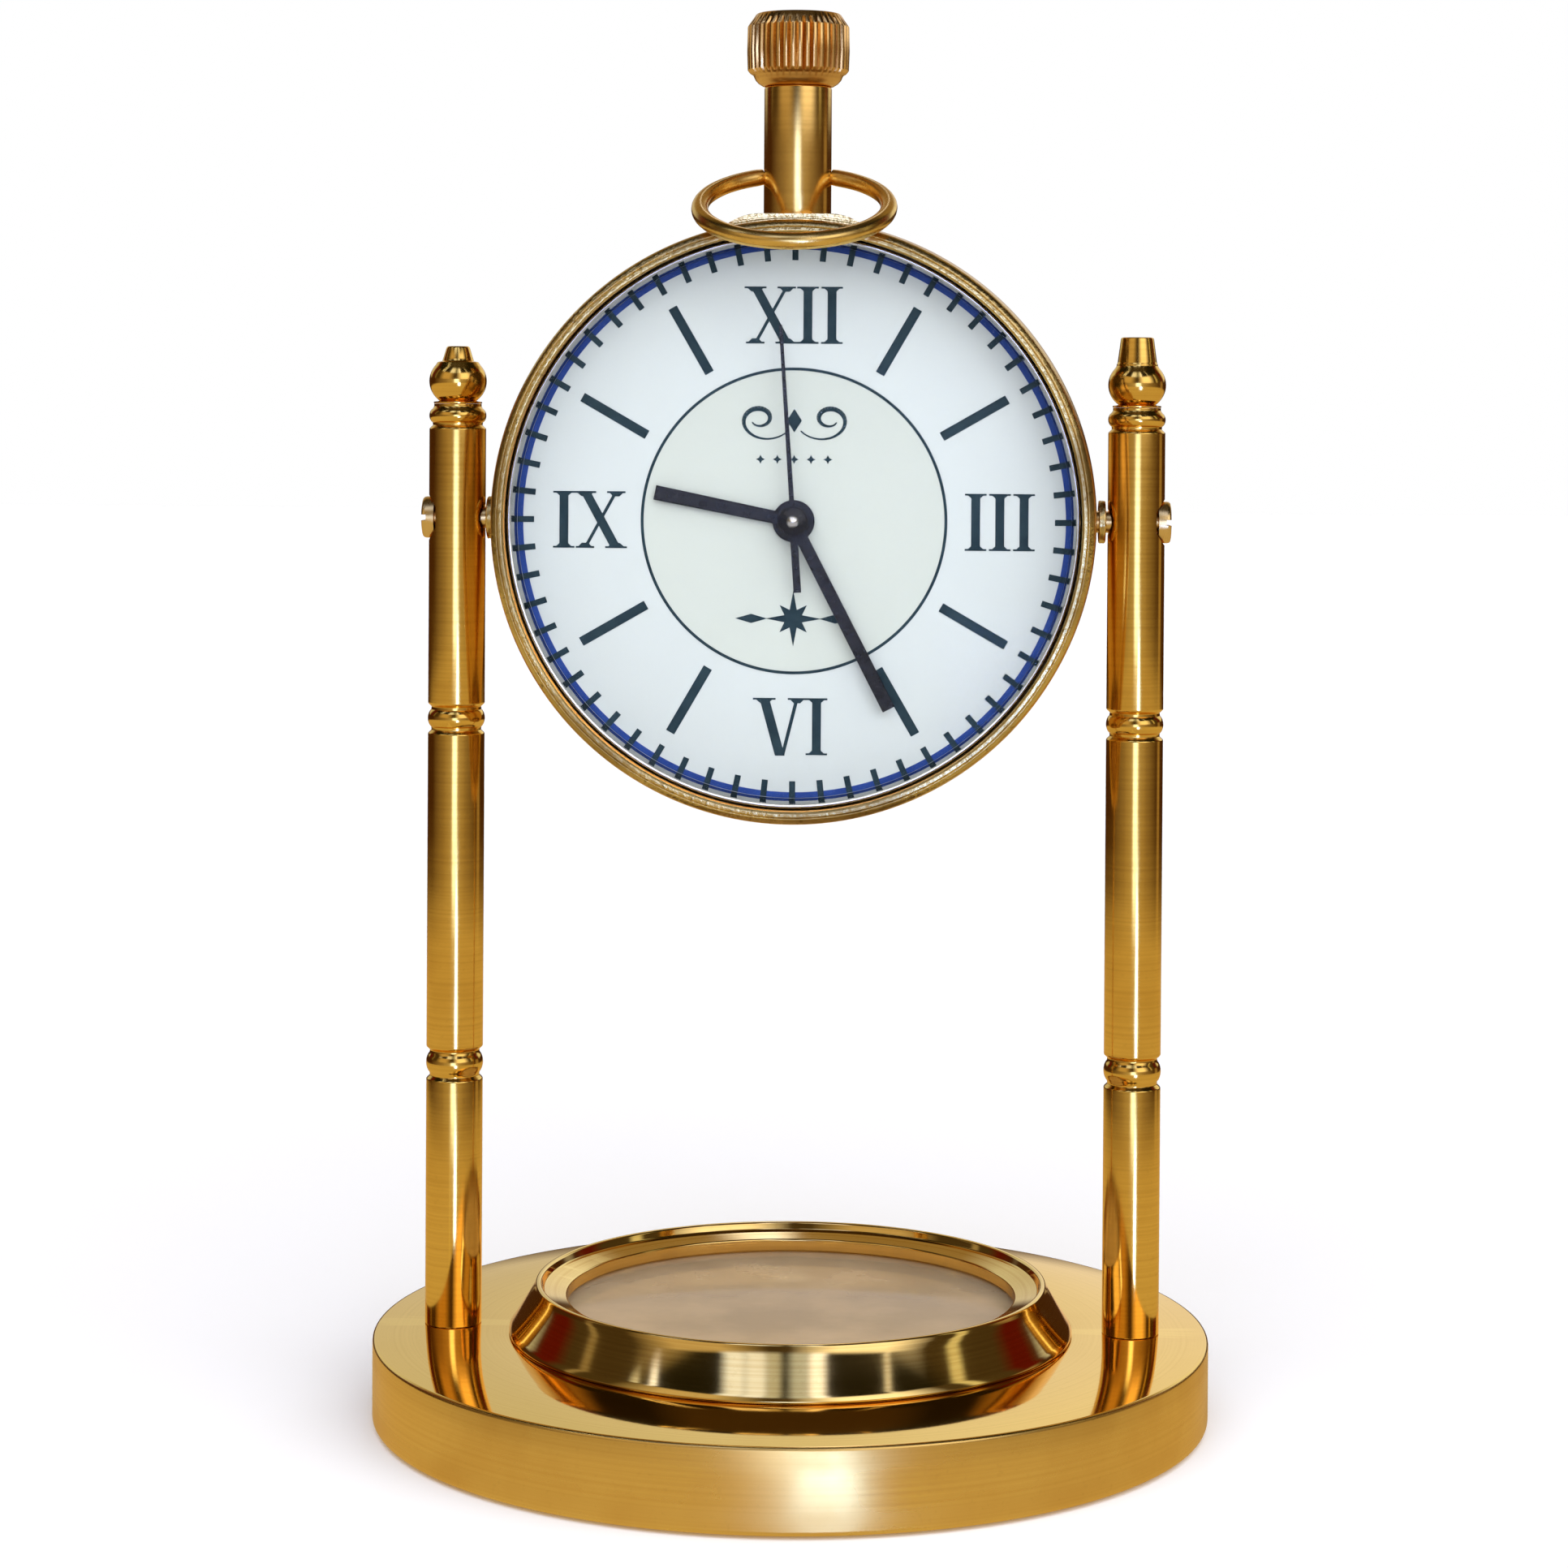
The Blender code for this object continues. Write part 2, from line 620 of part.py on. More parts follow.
def build_trunnion(head, name, side):
    """The slotted screw that the head turns on, and the boss between the case and the post."""
    boss_inner, boss_outer = CASE_RADIUS + GAP, POST_SPACING / 2 - POST_RADIUS - GAP
    head_inner = POST_SPACING / 2 + 2.3 * MM + GAP
    head_outer = POST_SPACING / 2 + POST_RADIUS + 0.7 * MM
    outline = [
        (0, head_outer),
        (TRUNNION_HEAD_RADIUS - 0.3 * MM, head_outer),
        (TRUNNION_HEAD_RADIUS, head_outer - 0.3 * MM),
        (TRUNNION_HEAD_RADIUS, head_inner),
        (TRUNNION_RADIUS, head_inner),
        (TRUNNION_RADIUS, CASE_INNER_RADIUS + GAP),
        (0, CASE_INNER_RADIUS + GAP),
    ]
    turn = (0, side * math.pi / 2, 0)
    shape = turned("trunnion_screw", outline, SMALL)
    screw = piece(f"trunnion_screw_{name}", shape, "polished_brass", head, turn=turn)
    across = rectangle(-SLOT_WIDTH / 2, SLOT_WIDTH / 2, -4 * MM, 4 * MM)
    slot = plate("slot", [across], head_outer - SLOT_DEPTH, head_outer + 1 * MM)
    combine(screw, "DIFFERENCE", slot)
    bore = TRUNNION_RADIUS + GAP
    radius = TRUNNION_HEAD_RADIUS + 0.1 * MM
    boss = [(bore, boss_inner), (radius, boss_inner), (radius, boss_outer), (bore, boss_outer)]
    piece(f"trunnion_boss_{name}", turned("trunnion_boss", boss, SMALL), "satin_brass", head, turn=turn)


# ---------------------------------------------------------------- neck, bow and crown


def build_neck(head):
    """The tube that the stem runs in, drilled across for the bow."""
    foot = SADDLE_TOP + GAP
    outline = [
        (NECK_BORE, foot),
        (NECK_RADIUS, foot),
        (NECK_RADIUS, NECK_TOP),
        (NECK_BORE, NECK_TOP),
    ]
    neck = piece("neck", turned("neck", outline, SLENDER), "satin_brass", head)
    bore = cylinder("bow_bore", BOW_STUB_RADIUS + GAP, -6 * MM, 6 * MM, TINY)
    combine(neck, "DIFFERENCE", bore, (0, 0, BOW_PIVOT), ALONG_X)


def bow_route(steps):
    """The bow's centre line in its own plane, as (x, reach, width) with its pivot along x."""
    half_gap = NECK_RADIUS + GAP
    half_width = BOW_RADIUS * BOW_OVAL
    entry = math.asin(half_gap / half_width)
    centre = BOW_RADIUS * math.cos(entry)
    sweep = math.tau - 2 * entry
    stub = BOW_STUB_RADIUS / BOW_WIRE_RADIUS
    ring = []
    for i in range(1, steps):
        angle = entry + sweep * i / steps
        ring.append((half_width * math.sin(angle), centre - BOW_RADIUS * math.cos(angle), 1.0))
    near = half_gap + 0.55 * MM
    start = [(2.4 * MM, 0, stub), (near - 0.3 * MM, 0, stub), (near, 0.05 * MM, 1.0)]
    end = [(-x, reach, width) for x, reach, width in reversed(start)]
    return [*start, *ring, *end]


def build_bow(head):
    """The wire ring that hangs in the neck and lies forward on the case."""
    axis = frame("bow_axis", head, (0, 0, BOW_PIVOT), (BOW_DROOP, 0, 0))
    route = bow_route(28)
    curve = bpy.data.curves.new("bow", "CURVE")
    curve.dimensions = "3D"
    curve.bevel_depth = BOW_WIRE_RADIUS
    curve.bevel_resolution = 2
    curve.use_fill_caps = True
    spline = curve.splines.new("POLY")
    spline.points.add(len(route) - 1)
    for point, (x, reach, width) in zip(spline.points, route):
        point.co = (x, -reach, 0, 1)
        point.radius = width
    curve.materials.append(material("satin_brass"))
    place(bpy.data.objects.new("bow", curve), axis, (0, 0, 0), (0, 0, 0))


def crown_level(radius, height, depth):
    """One fluted loop of the crown, at a height, with flutes cut to a depth."""
    points = []
    for i in range(2 * CROWN_FLUTES):
        angle = math.pi * i / CROWN_FLUTES
        reach = radius - depth * (i % 2)
        points.append((reach * math.cos(angle), reach * math.sin(angle), height))
    return points


def build_crown(crown_axis):
    """The knurled crown: a chamfered top, a fluted grip and a rounded foot, bored for the stem."""
    levels = [
        crown_level(4.2 * MM, 0, 0),
        crown_level(5.45 * MM, 1.0 * MM, 0),
        crown_level(5.6 * MM, 1.5 * MM, 0),
        crown_level(CROWN_RADIUS, 1.9 * MM, CROWN_FLUTE_DEPTH),
        crown_level(CROWN_RADIUS, CROWN_HEIGHT - 1.7 * MM, CROWN_FLUTE_DEPTH),
        crown_level(4.85 * MM, CROWN_HEIGHT, 0),
    ]
    bm = bmesh.new()
    loops = [[bm.verts.new(p) for p in level] for level in levels]
    for lower, upper in zip(loops, loops[1:]):
        for i in range(len(lower)):
            bm.faces.new((lower[i - 1], lower[i], upper[i], upper[i - 1]))
    bm.faces.new(loops[0])
    bm.faces.new(loops[-1])
    crown = piece("crown", finish_mesh("crown", bm), "satin_brass", crown_axis)
    bore = cylinder("bore", STEM_RADIUS + GAP, -1 * MM, 5 * MM, TINY)
    combine(crown, "DIFFERENCE", bore)


def build_stem(head, crown_axis):
    """The setting stem, and the yoke in its groove that lets it turn but slides with it."""
    top = NECK_TOP + GAP + 4.6 * MM
    groove_low = YOKE_HEIGHT - 0.3 * MM
    groove_high = YOKE_HEIGHT + 0.9 * MM
    outline = [
        (0, top),
        (STEM_RADIUS, top),
        (STEM_RADIUS, groove_high),
        (0.4 * MM, groove_high),
        (0.4 * MM, groove_low),
        (STEM_RADIUS, groove_low),
        (STEM_RADIUS, STEM_INNER_END + 0.9 * MM),
        (1.3 * MM, STEM_INNER_END + 0.9 * MM),
        (1.3 * MM, STEM_INNER_END),
        (0, STEM_INNER_END),
    ]
    stem = turned("setting_stem", outline, TINY)
    piece("setting_stem", stem, "steel", crown_axis, (0, 0, -NECK_TOP - GAP))
    slot = 0.6 * MM
    yoke = [
        (-1.6 * MM, -1.4 * MM),
        (1.6 * MM, -1.4 * MM),
        (1.6 * MM, 1.2 * MM),
        (slot, 1.2 * MM),
        (slot, -0.6 * MM),
        (-slot, -0.6 * MM),
        (-slot, 1.2 * MM),
        (-1.6 * MM, 1.2 * MM),
    ]
    shape = plate("setting_yoke", [yoke], YOKE_HEIGHT, YOKE_HEIGHT + 0.6 * MM)
    piece("setting_yoke", shape, "steel", head)


# ---------------------------------------------------------------- gears


def gear_outline(teeth, module, direction, gap_there=False):
    """A gear's outline with a tooth, or a gap between teeth, in one direction (radians).

    Each tooth narrows from the bottom of one gap to a flat tip and back, which leaves play at every phase.
    """
    pitch_radius = teeth * module / 2
    pitch = math.tau / teeth
    phase = direction + (pitch / 2 if gap_there else 0)
    tip, root = pitch_radius + 0.75 * module, pitch_radius - 1.6 * module
    tip_half = 0.09 * pitch
    points = []
    for i in range(teeth):
        middle = phase + i * pitch
        for radius, offset in ((root, -pitch / 2), (tip, -tip_half), (tip, tip_half)):
            points.append((radius * math.cos(middle + offset), radius * math.sin(middle + offset)))
    return points


def heading(start, end):
    """The direction from one axis to another, in radians."""
    step = end - start
    return math.atan2(step.y, step.x)


def spacing(driver, driven, module):
    """The distance between two meshing gears' axes."""
    return (driver + driven) * module / 2


CENTRE = Vector((0, 0))
INTERMEDIATE_PLACE = polar(spacing(INTERMEDIATE_PINION_TEETH, SECONDS_TEETH, TRAIN_MODULE), -90)
ROTOR_PLACE = INTERMEDIATE_PLACE + polar(spacing(ROTOR_TEETH, INTERMEDIATE_TEETH, ROTOR_MODULE), -25)
THIRD_PLACE = polar(spacing(SECONDS_PINION_TEETH, THIRD_TEETH, TRAIN_MODULE), 150)
MOTION_PLACE = polar(spacing(CANNON_TEETH, MOTION_TEETH, MOTION_MODULE), 60)
CENTRE_MODULE = 2 * THIRD_PLACE.length / (THIRD_PINION_TEETH + CENTRE_TEETH)
HOUR_MODULE = 2 * MOTION_PLACE.length / (MOTION_PINION_TEETH + HOUR_TEETH)


def build_wheel(name, parent, at, wheel, layer, arbor):
    """A wheel on its arbor. The outline is in the wheel's own axes, and the arbor is (back, front)."""
    mesh = plate(name, [wheel], layer, layer + WHEEL_THICKNESS)
    item = piece(name, mesh, "white_plastic", parent, (at.x, at.y, 0))
    combine(item, "UNION", cylinder("arbor", ARBOR_RADIUS, *arbor, TINY))
    return item


def add_pinion(item, leaves, back, front):
    """Join a pinion to a wheel, let a little way into it."""
    combine(item, "UNION", plate("pinion", [leaves], back, front))


def build_train(dial_frame):
    """The wheels from the rotor to the centre wheel."""
    rotor_way = heading(INTERMEDIATE_PLACE, ROTOR_PLACE)
    third_way = heading(CENTRE, THIRD_PLACE)
    below = heading(CENTRE, INTERMEDIATE_PLACE)
    bridge_pivot = (ARBOR_BACK, BRIDGE_FRONT - GAP)
    root = 0.2 * MM

    magnet_front = MAGNET_LAYER + 1.2 * MM
    magnet = [
        (0, MAGNET_LAYER),
        (1.5 * MM, MAGNET_LAYER),
        (1.5 * MM, magnet_front),
        (0, magnet_front),
    ]
    shape = turned("rotor", magnet, SMALL)
    rotor = piece("rotor", shape, "steel", dial_frame, (ROTOR_PLACE.x, ROTOR_PLACE.y, 0))
    combine(rotor, "UNION", cylinder("arbor", 0.2 * MM, *bridge_pivot, TINY))
    leaves = gear_outline(ROTOR_TEETH, ROTOR_MODULE, rotor_way + math.pi)
    add_pinion(rotor, leaves, magnet_front - root, ROTOR_LAYER + WHEEL_THICKNESS)

    teeth = gear_outline(INTERMEDIATE_TEETH, ROTOR_MODULE, rotor_way, gap_there=True)
    item = build_wheel("intermediate_wheel", dial_frame, INTERMEDIATE_PLACE, teeth, ROTOR_LAYER, bridge_pivot)
    leaves = gear_outline(INTERMEDIATE_PINION_TEETH, TRAIN_MODULE, below + math.pi)
    add_pinion(item, leaves, ROTOR_LAYER + WHEEL_THICKNESS - root, SECONDS_LAYER + WHEEL_THICKNESS)

    teeth = gear_outline(SECONDS_TEETH, TRAIN_MODULE, below, gap_there=True)
    arbor = (ARBOR_BACK, SECONDS_HAND_DEPTH + HAND_THICKNESS)
    item = build_wheel("seconds_wheel", dial_frame, CENTRE, teeth, SECONDS_LAYER, arbor)
    leaves = gear_outline(SECONDS_PINION_TEETH, TRAIN_MODULE, third_way)
    add_pinion(item, leaves, SECONDS_LAYER + WHEEL_THICKNESS - root, THIRD_LAYER + WHEEL_THICKNESS)

    teeth = gear_outline(THIRD_TEETH, TRAIN_MODULE, third_way + math.pi, gap_there=True)
    arbor = (ARBOR_BACK, PLATE_FRONT - GAP)
    item = build_wheel("third_wheel", dial_frame, THIRD_PLACE, teeth, THIRD_LAYER, arbor)
    leaves = gear_outline(THIRD_PINION_TEETH, CENTRE_MODULE, third_way + math.pi)
    add_pinion(item, leaves, THIRD_LAYER + WHEEL_THICKNESS - root, CENTRE_LAYER + WHEEL_THICKNESS)

    teeth = gear_outline(CENTRE_TEETH, CENTRE_MODULE, third_way, gap_there=True)
    outlines = [teeth, circle(CANNON_RADIUS + FIT, SMALL)]
    wheel = plate("centre_wheel", outlines, CENTRE_LAYER, CENTRE_LAYER + WHEEL_THICKNESS)
    piece("centre_wheel", wheel, "white_plastic", dial_frame)


def build_motion_work(dial_frame):
    """The cannon pinion, motion wheel and hour wheel, which drive the two slow hands."""
    motion_way = heading(CENTRE, MOTION_PLACE)
    layer_top = MINUTE_LAYER + WHEEL_THICKNESS

    tube = [
        (CANNON_BORE, CENTRE_LAYER),
        (CANNON_RADIUS, CENTRE_LAYER),
        (CANNON_RADIUS, MINUTE_HAND_DEPTH + HAND_THICKNESS),
        (CANNON_BORE, MINUTE_HAND_DEPTH + HAND_THICKNESS),
    ]
    cannon = piece("cannon_pinion", turned("cannon_pinion", tube, SMALL), "steel", dial_frame)
    leaves = gear_outline(CANNON_TEETH, MOTION_MODULE, motion_way)
    bore = circle(CANNON_BORE + 0.12 * MM, TINY)
    combine(cannon, "UNION", plate("leaves", [leaves, bore], MINUTE_LAYER, layer_top))

    teeth = gear_outline(MOTION_TEETH, MOTION_MODULE, motion_way + math.pi, gap_there=True)
    arbor = (MINUTE_LAYER + 0.1 * MM, PLATE_FRONT - GAP)
    item = build_wheel("motion_wheel", dial_frame, MOTION_PLACE, teeth, MINUTE_LAYER, arbor)
    leaves = gear_outline(MOTION_PINION_TEETH, HOUR_MODULE, motion_way + math.pi)
    add_pinion(item, leaves, layer_top - 0.2 * MM, HOUR_LAYER + WHEEL_THICKNESS)

    teeth = gear_outline(HOUR_TEETH, HOUR_MODULE, motion_way, gap_there=True)
    outlines = [teeth, circle(HOUR_PIPE_BORE + 0.12 * MM, SMALL)]
    mesh = plate("hour_wheel", outlines, HOUR_LAYER, HOUR_LAYER + WHEEL_THICKNESS)
    hour = piece("hour_wheel", mesh, "white_plastic", dial_frame)
    pipe = [
        (HOUR_PIPE_BORE, HOUR_LAYER + 0.1 * MM),
        (HOUR_PIPE_RADIUS, HOUR_LAYER + 0.1 * MM),
        (HOUR_PIPE_RADIUS, HOUR_HAND_DEPTH + HAND_THICKNESS),
        (HOUR_PIPE_BORE, HOUR_HAND_DEPTH + HAND_THICKNESS),
    ]
    combine(hour, "UNION", turned("pipe", pipe, SMALL))


# ---------------------------------------------------------------- movement


def build_plates(dial_frame):
    """The movement's front plate, its cup-shaped housing, and the bridge over the rotor."""
    front = [
        circle(MOVEMENT_RADIUS, MEDIUM),
        circle(HOUR_PIPE_RADIUS + GAP, SMALL),
        circle(ARBOR_RADIUS + FIT, TINY, THIRD_PLACE),
        circle(ARBOR_RADIUS + FIT, TINY, MOTION_PLACE),
    ]
    piece("front_plate", plate("front_plate", front, PLATE_BACK, PLATE_FRONT), "black_plastic", dial_frame)

    pivot_places = (CENTRE, THIRD_PLACE, INTERMEDIATE_PLACE, ROTOR_PLACE)
    floor_holes = [circle(ARBOR_RADIUS + FIT, TINY, spot) for spot in pivot_places]
    battery_hatch = circle(BATTERY_RADIUS + GAP, SLENDER, BATTERY_PLACE)
    floor = [circle(MOVEMENT_RADIUS, MEDIUM), battery_hatch, *floor_holes]
    shape = plate("rear_housing", floor, HOUSING_BACK, HOUSING_FLOOR)
    housing = piece("rear_housing", shape, "black_plastic", dial_frame)
    inner = MOVEMENT_RADIUS - MOVEMENT_WALL
    wall = [circle(MOVEMENT_RADIUS, MEDIUM), circle(inner, MEDIUM)]
    combine(housing, "UNION", plate("wall", wall, HOUSING_FLOOR - 0.2 * MM, PLATE_BACK - GAP))
    pillar_top = BRIDGE_BACK - GAP
    for spot in BRIDGE_PILLARS:
        pillar = cylinder("pillar", 0.7 * MM, HOUSING_FLOOR - 0.2 * MM, pillar_top, TINY)
        combine(housing, "UNION", pillar, (*spot, 0))
    stem_way = cylinder("stem_way", STEM_RADIUS + GAP, inner - 1 * MM, MOVEMENT_RADIUS + 1 * MM, TINY)
    combine(housing, "DIFFERENCE", stem_way, turn=ALONG_Y)

    outline = [
        (-3.9 * MM, -7.1 * MM),
        (-2.2 * MM, -2.7 * MM),
        (4.2 * MM, -3.4 * MM),
        (8.2 * MM, -9.0 * MM),
        (8.2 * MM, -10.7 * MM),
        (6.4 * MM, -10.7 * MM),
    ]
    pivots = [circle(ARBOR_RADIUS + FIT, TINY, spot) for spot in (INTERMEDIATE_PLACE, ROTOR_PLACE)]
    bridge = plate("train_bridge", [outline, *pivots], BRIDGE_BACK, BRIDGE_FRONT)
    piece("train_bridge", bridge, "white_plastic", dial_frame)


def build_motor(dial_frame):
    """The stepping motor's stator and its coil."""
    hole = circle(1.9 * MM, SMALL, ROTOR_PLACE)
    outline = [
        (0.75 * MM, -2.6 * MM),
        (0.75 * MM, -7.9 * MM),
        (-7.2 * MM, -7.9 * MM),
        (-7.2 * MM, -11.8 * MM),
        (-6.2 * MM, -11.8 * MM),
        (-6.2 * MM, -8.8 * MM),
        (5.4 * MM, -8.8 * MM),
        (5.4 * MM, -11.8 * MM),
        (6.4 * MM, -11.8 * MM),
        (6.4 * MM, -2.6 * MM),
    ]
    stator = plate("stator", [outline, hole], MAGNET_LAYER + 0.2 * MM, MAGNET_LAYER + 0.9 * MM)
    piece("stator", stator, "steel", dial_frame)
    left, right, depth = -5.6 * MM, 4.9 * MM, -3.1 * MM
    winding = [
        (0, right),
        (1.6 * MM, right),
        (1.6 * MM, right - 0.6 * MM),
        (1.4 * MM, right - 0.6 * MM),
        (1.4 * MM, left + 0.6 * MM),
        (1.6 * MM, left + 0.6 * MM),
        (1.6 * MM, left),
        (0, left),
    ]
    shape = turned("coil", winding, SMALL)
    coil = piece("coil", shape, "copper_wire", dial_frame, (0, COIL_HEIGHT, depth), ALONG_X)
    section = rectangle(-0.2 * MM, 0.2 * MM, -0.4 * MM, 0.4 * MM)
    combine(coil, "UNION", plate("core", [section], left - 1.5 * MM, right + 1.4 * MM))


def build_electronics(dial_frame):
    """The circuit board with its quartz can and chip, the battery and the strap that holds it."""
    board_back = HOUSING_FLOOR + GAP
    board_front = board_back + 0.4 * MM
    x, y = BOARD_PLACE
    half_width, half_height = BOARD_SIZE[0] / 2, BOARD_SIZE[1] / 2
    outline = rectangle(x - half_width, x + half_width, y - half_height, y + half_height)
    board = plate("circuit_board", [outline], board_back, board_front)
    piece("circuit_board", board, "circuit_green", dial_frame)
    can_radius = 1.0 * MM
    can = cylinder("quartz_can", can_radius, -3 * MM, 3 * MM, SMALL)
    can_depth = board_front + GAP + can_radius
    piece("quartz_can", can, "steel", dial_frame, (x, y + 2.5 * MM, can_depth), ALONG_Y)
    chip = [(0, 0.7 * MM), (1.0 * MM, 0.6 * MM), (1.6 * MM, 0), (0, 0)]
    chip_mesh = turned("circuit_chip", chip, SMALL)
    piece("circuit_chip", chip_mesh, "black_plastic", dial_frame, (x, y - 3.2 * MM, board_front + GAP))

    back = HOUSING_FLOOR + GAP
    cell = [
        (0, back),
        (BATTERY_RADIUS, back),
        (BATTERY_RADIUS, back + 2.0 * MM),
        (BATTERY_RADIUS - 0.5 * MM, back + 2.2 * MM),
        (BATTERY_RADIUS - 0.5 * MM, back + BATTERY_THICKNESS),
        (0, back + BATTERY_THICKNESS),
    ]
    piece("battery", turned("battery", cell, SLENDER), "steel", dial_frame, (*BATTERY_PLACE, 0))
    strap_front = HOUSING_BACK - GAP
    reach = BATTERY_RADIUS + 2.4 * MM
    hole = (reach - 1.4 * MM, 0)
    strap_back = strap_front - 0.3 * MM
    outlines = [rectangle(-reach, reach, -1.4 * MM, 1.4 * MM), circle(0.9 * MM, TINY, hole)]
    strap_frame = frame("strap_frame", dial_frame, (*BATTERY_PLACE, 0), (0, 0, STRAP_TURN))
    strap = plate("battery_strap", outlines, strap_back, strap_front)
    piece("battery_strap", strap, "steel", strap_frame)
    head = strap_back - GAP
    screw = [
        (0, HOUSING_BACK - 0.2 * MM),
        (0.6 * MM, HOUSING_BACK - 0.2 * MM),
        (0.6 * MM, head),
        (1.3 * MM, head),
        (1.3 * MM, head - 0.7 * MM),
        (0, head - 0.7 * MM),
    ]
    piece("strap_screw", turned("strap_screw", screw, TINY), "steel", strap_frame, (*hole, 0))


def build_holder(dial_frame):
    """The ring that centres the movement in the case, with a way through it for the stem."""
    inner = MOVEMENT_RADIUS + GAP
    back, front = -3.0 * MM, PLATE_FRONT
    outline = [(inner, back), (DIAL_RADIUS, back), (DIAL_RADIUS, front), (inner, front)]
    shape = turned("movement_holder", outline, MEDIUM)
    holder = piece("movement_holder", shape, "white_plastic", dial_frame)
    way = cylinder("way", STEM_RADIUS + GAP, 10 * MM, 40 * MM, TINY)
    combine(holder, "DIFFERENCE", way, turn=ALONG_Y)


# ---------------------------------------------------------------- hands


def hand_outline(hub, length, root_width, tip_width, tail=None):
    """A hand pointing up: a round hub, a square-ended blade, and any tail as (length, width)."""
    angle = math.degrees(math.asin(root_width / 2 / hub))
    if not tail:
        blade = [(-tip_width / 2, length), (tip_width / 2, length)]
        return [*arc((0, 0), hub, 90 + angle, 450 - angle, 12), *reversed(blade)]
    tail_length, tail_width = tail
    tail_angle = math.degrees(math.asin(tail_width / 2 / hub))
    left = arc((0, 0), hub, 90 + angle, 270 - tail_angle, 5)
    right = arc((0, 0), hub, 270 + tail_angle, 450 - angle, 5)
    foot = [(-tail_width / 2, -tail_length), (tail_width / 2, -tail_length)]
    tip = [(tip_width / 2, length), (-tip_width / 2, length)]
    return [*left, *foot, *right, *tip]


def build_hand(dial_frame, name, outline, bore, depth, angle):
    """A flat hand at its angle."""
    mesh = plate(name, [outline, circle(bore, SMALL)], depth, depth + HAND_THICKNESS)
    piece(name, mesh, "black_enamel", dial_frame, turn=(0, 0, -angle))


def build_hands(dial_frame):
    """The three hands and the cap over them."""
    hour = hand_outline(2.5 * MM, HOUR_LENGTH, 1.5 * MM, 1.75 * MM)
    build_hand(dial_frame, "hour_hand", hour, HOUR_PIPE_RADIUS + FIT, HOUR_HAND_DEPTH, HOUR_ANGLE)
    minute = hand_outline(2.0 * MM, MINUTE_LENGTH, 1.45 * MM, 1.55 * MM)
    build_hand(dial_frame, "minute_hand", minute, CANNON_RADIUS + FIT, MINUTE_HAND_DEPTH, MINUTE_ANGLE)
    seconds = hand_outline(1.3 * MM, SECONDS_LENGTH, 0.6 * MM, 0.4 * MM, (SECONDS_TAIL, 0.9 * MM))
    build_hand(dial_frame, "seconds_hand", seconds, ARBOR_RADIUS + FIT, SECONDS_HAND_DEPTH, SECONDS_ANGLE)
    back = SECONDS_HAND_DEPTH + HAND_THICKNESS + GAP
    cap = [
        (0, back),
        (1.8 * MM, back),
        (1.7 * MM, back + 0.5 * MM),
        (1.2 * MM, back + 1.0 * MM),
        (0.5 * MM, back + 1.2 * MM),
        (0, back + 1.25 * MM),
    ]
    piece("hand_cap", turned("hand_cap", cap, SMALL), "black_enamel", dial_frame)


# ---------------------------------------------------------------- the clock


def build_stand():
    """Everything that stands still: base, compass, posts and finials."""
    build_base()
    build_compass_ring()
    build_compass_capsule()
    build_compass_needle()
    build_post("post_left", -1)
    build_post("post_right", 1)
    build_post_screw("post_screw_left", -1)
    build_post_screw("post_screw_right", 1)
    build_finial("finial_left", -1, 1.8 * MM, 1.8 * MM, 1.35 * MM)
    build_finial("finial_right", 1, 3.3 * MM, 2.35 * MM, 1.95 * MM)


def build_head():
    """Everything that tilts on the trunnions."""
    head = frame("head_axis", at=(0, 0, TRUNNION_HEIGHT))
    dial_frame = frame("dial_frame", head, turn=(math.pi / 2, 0, 0))
    crown_axis = frame("crown_axis", head, (0, 0, NECK_TOP + GAP))
    build_case(dial_frame)
    build_bezel(dial_frame)
    build_crystal(dial_frame)
    build_dial(dial_frame)
    build_back_cover(dial_frame)
    build_trunnion(head, "left", -1)
    build_trunnion(head, "right", 1)
    build_neck(head)
    build_bow(head)
    build_crown(crown_axis)
    build_stem(head, crown_axis)
    build_plates(dial_frame)
    build_holder(dial_frame)
    build_train(dial_frame)
    build_motion_work(dial_frame)
    build_motor(dial_frame)
    build_electronics(dial_frame)
    build_hands(dial_frame)


clear_scene()
build_stand()
build_head()
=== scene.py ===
import json
import math

import bmesh
import bpy
from mathutils import Matrix, Vector
from mathutils.geometry import delaunay_2d_cdt


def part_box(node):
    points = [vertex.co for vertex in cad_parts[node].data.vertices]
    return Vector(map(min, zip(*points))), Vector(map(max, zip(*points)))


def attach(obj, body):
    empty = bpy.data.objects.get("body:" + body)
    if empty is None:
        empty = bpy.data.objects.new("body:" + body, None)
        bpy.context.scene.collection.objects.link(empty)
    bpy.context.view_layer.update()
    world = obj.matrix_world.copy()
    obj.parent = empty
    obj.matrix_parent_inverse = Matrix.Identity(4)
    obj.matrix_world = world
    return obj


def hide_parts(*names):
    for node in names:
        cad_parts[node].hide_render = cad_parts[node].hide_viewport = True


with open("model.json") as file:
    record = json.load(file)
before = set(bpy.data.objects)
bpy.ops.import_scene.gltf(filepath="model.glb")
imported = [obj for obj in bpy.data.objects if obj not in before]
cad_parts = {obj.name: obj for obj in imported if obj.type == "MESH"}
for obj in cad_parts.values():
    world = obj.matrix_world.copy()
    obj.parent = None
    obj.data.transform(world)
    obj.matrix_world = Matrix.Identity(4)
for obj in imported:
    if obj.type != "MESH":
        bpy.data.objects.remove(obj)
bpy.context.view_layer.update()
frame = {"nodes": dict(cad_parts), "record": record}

# Sizes below are millimetres, and meshes are scaled to metres as they are made. The frame gives the place of
# each CAD node, and the numbers here are the finer shapes on it.
MM = 0.001
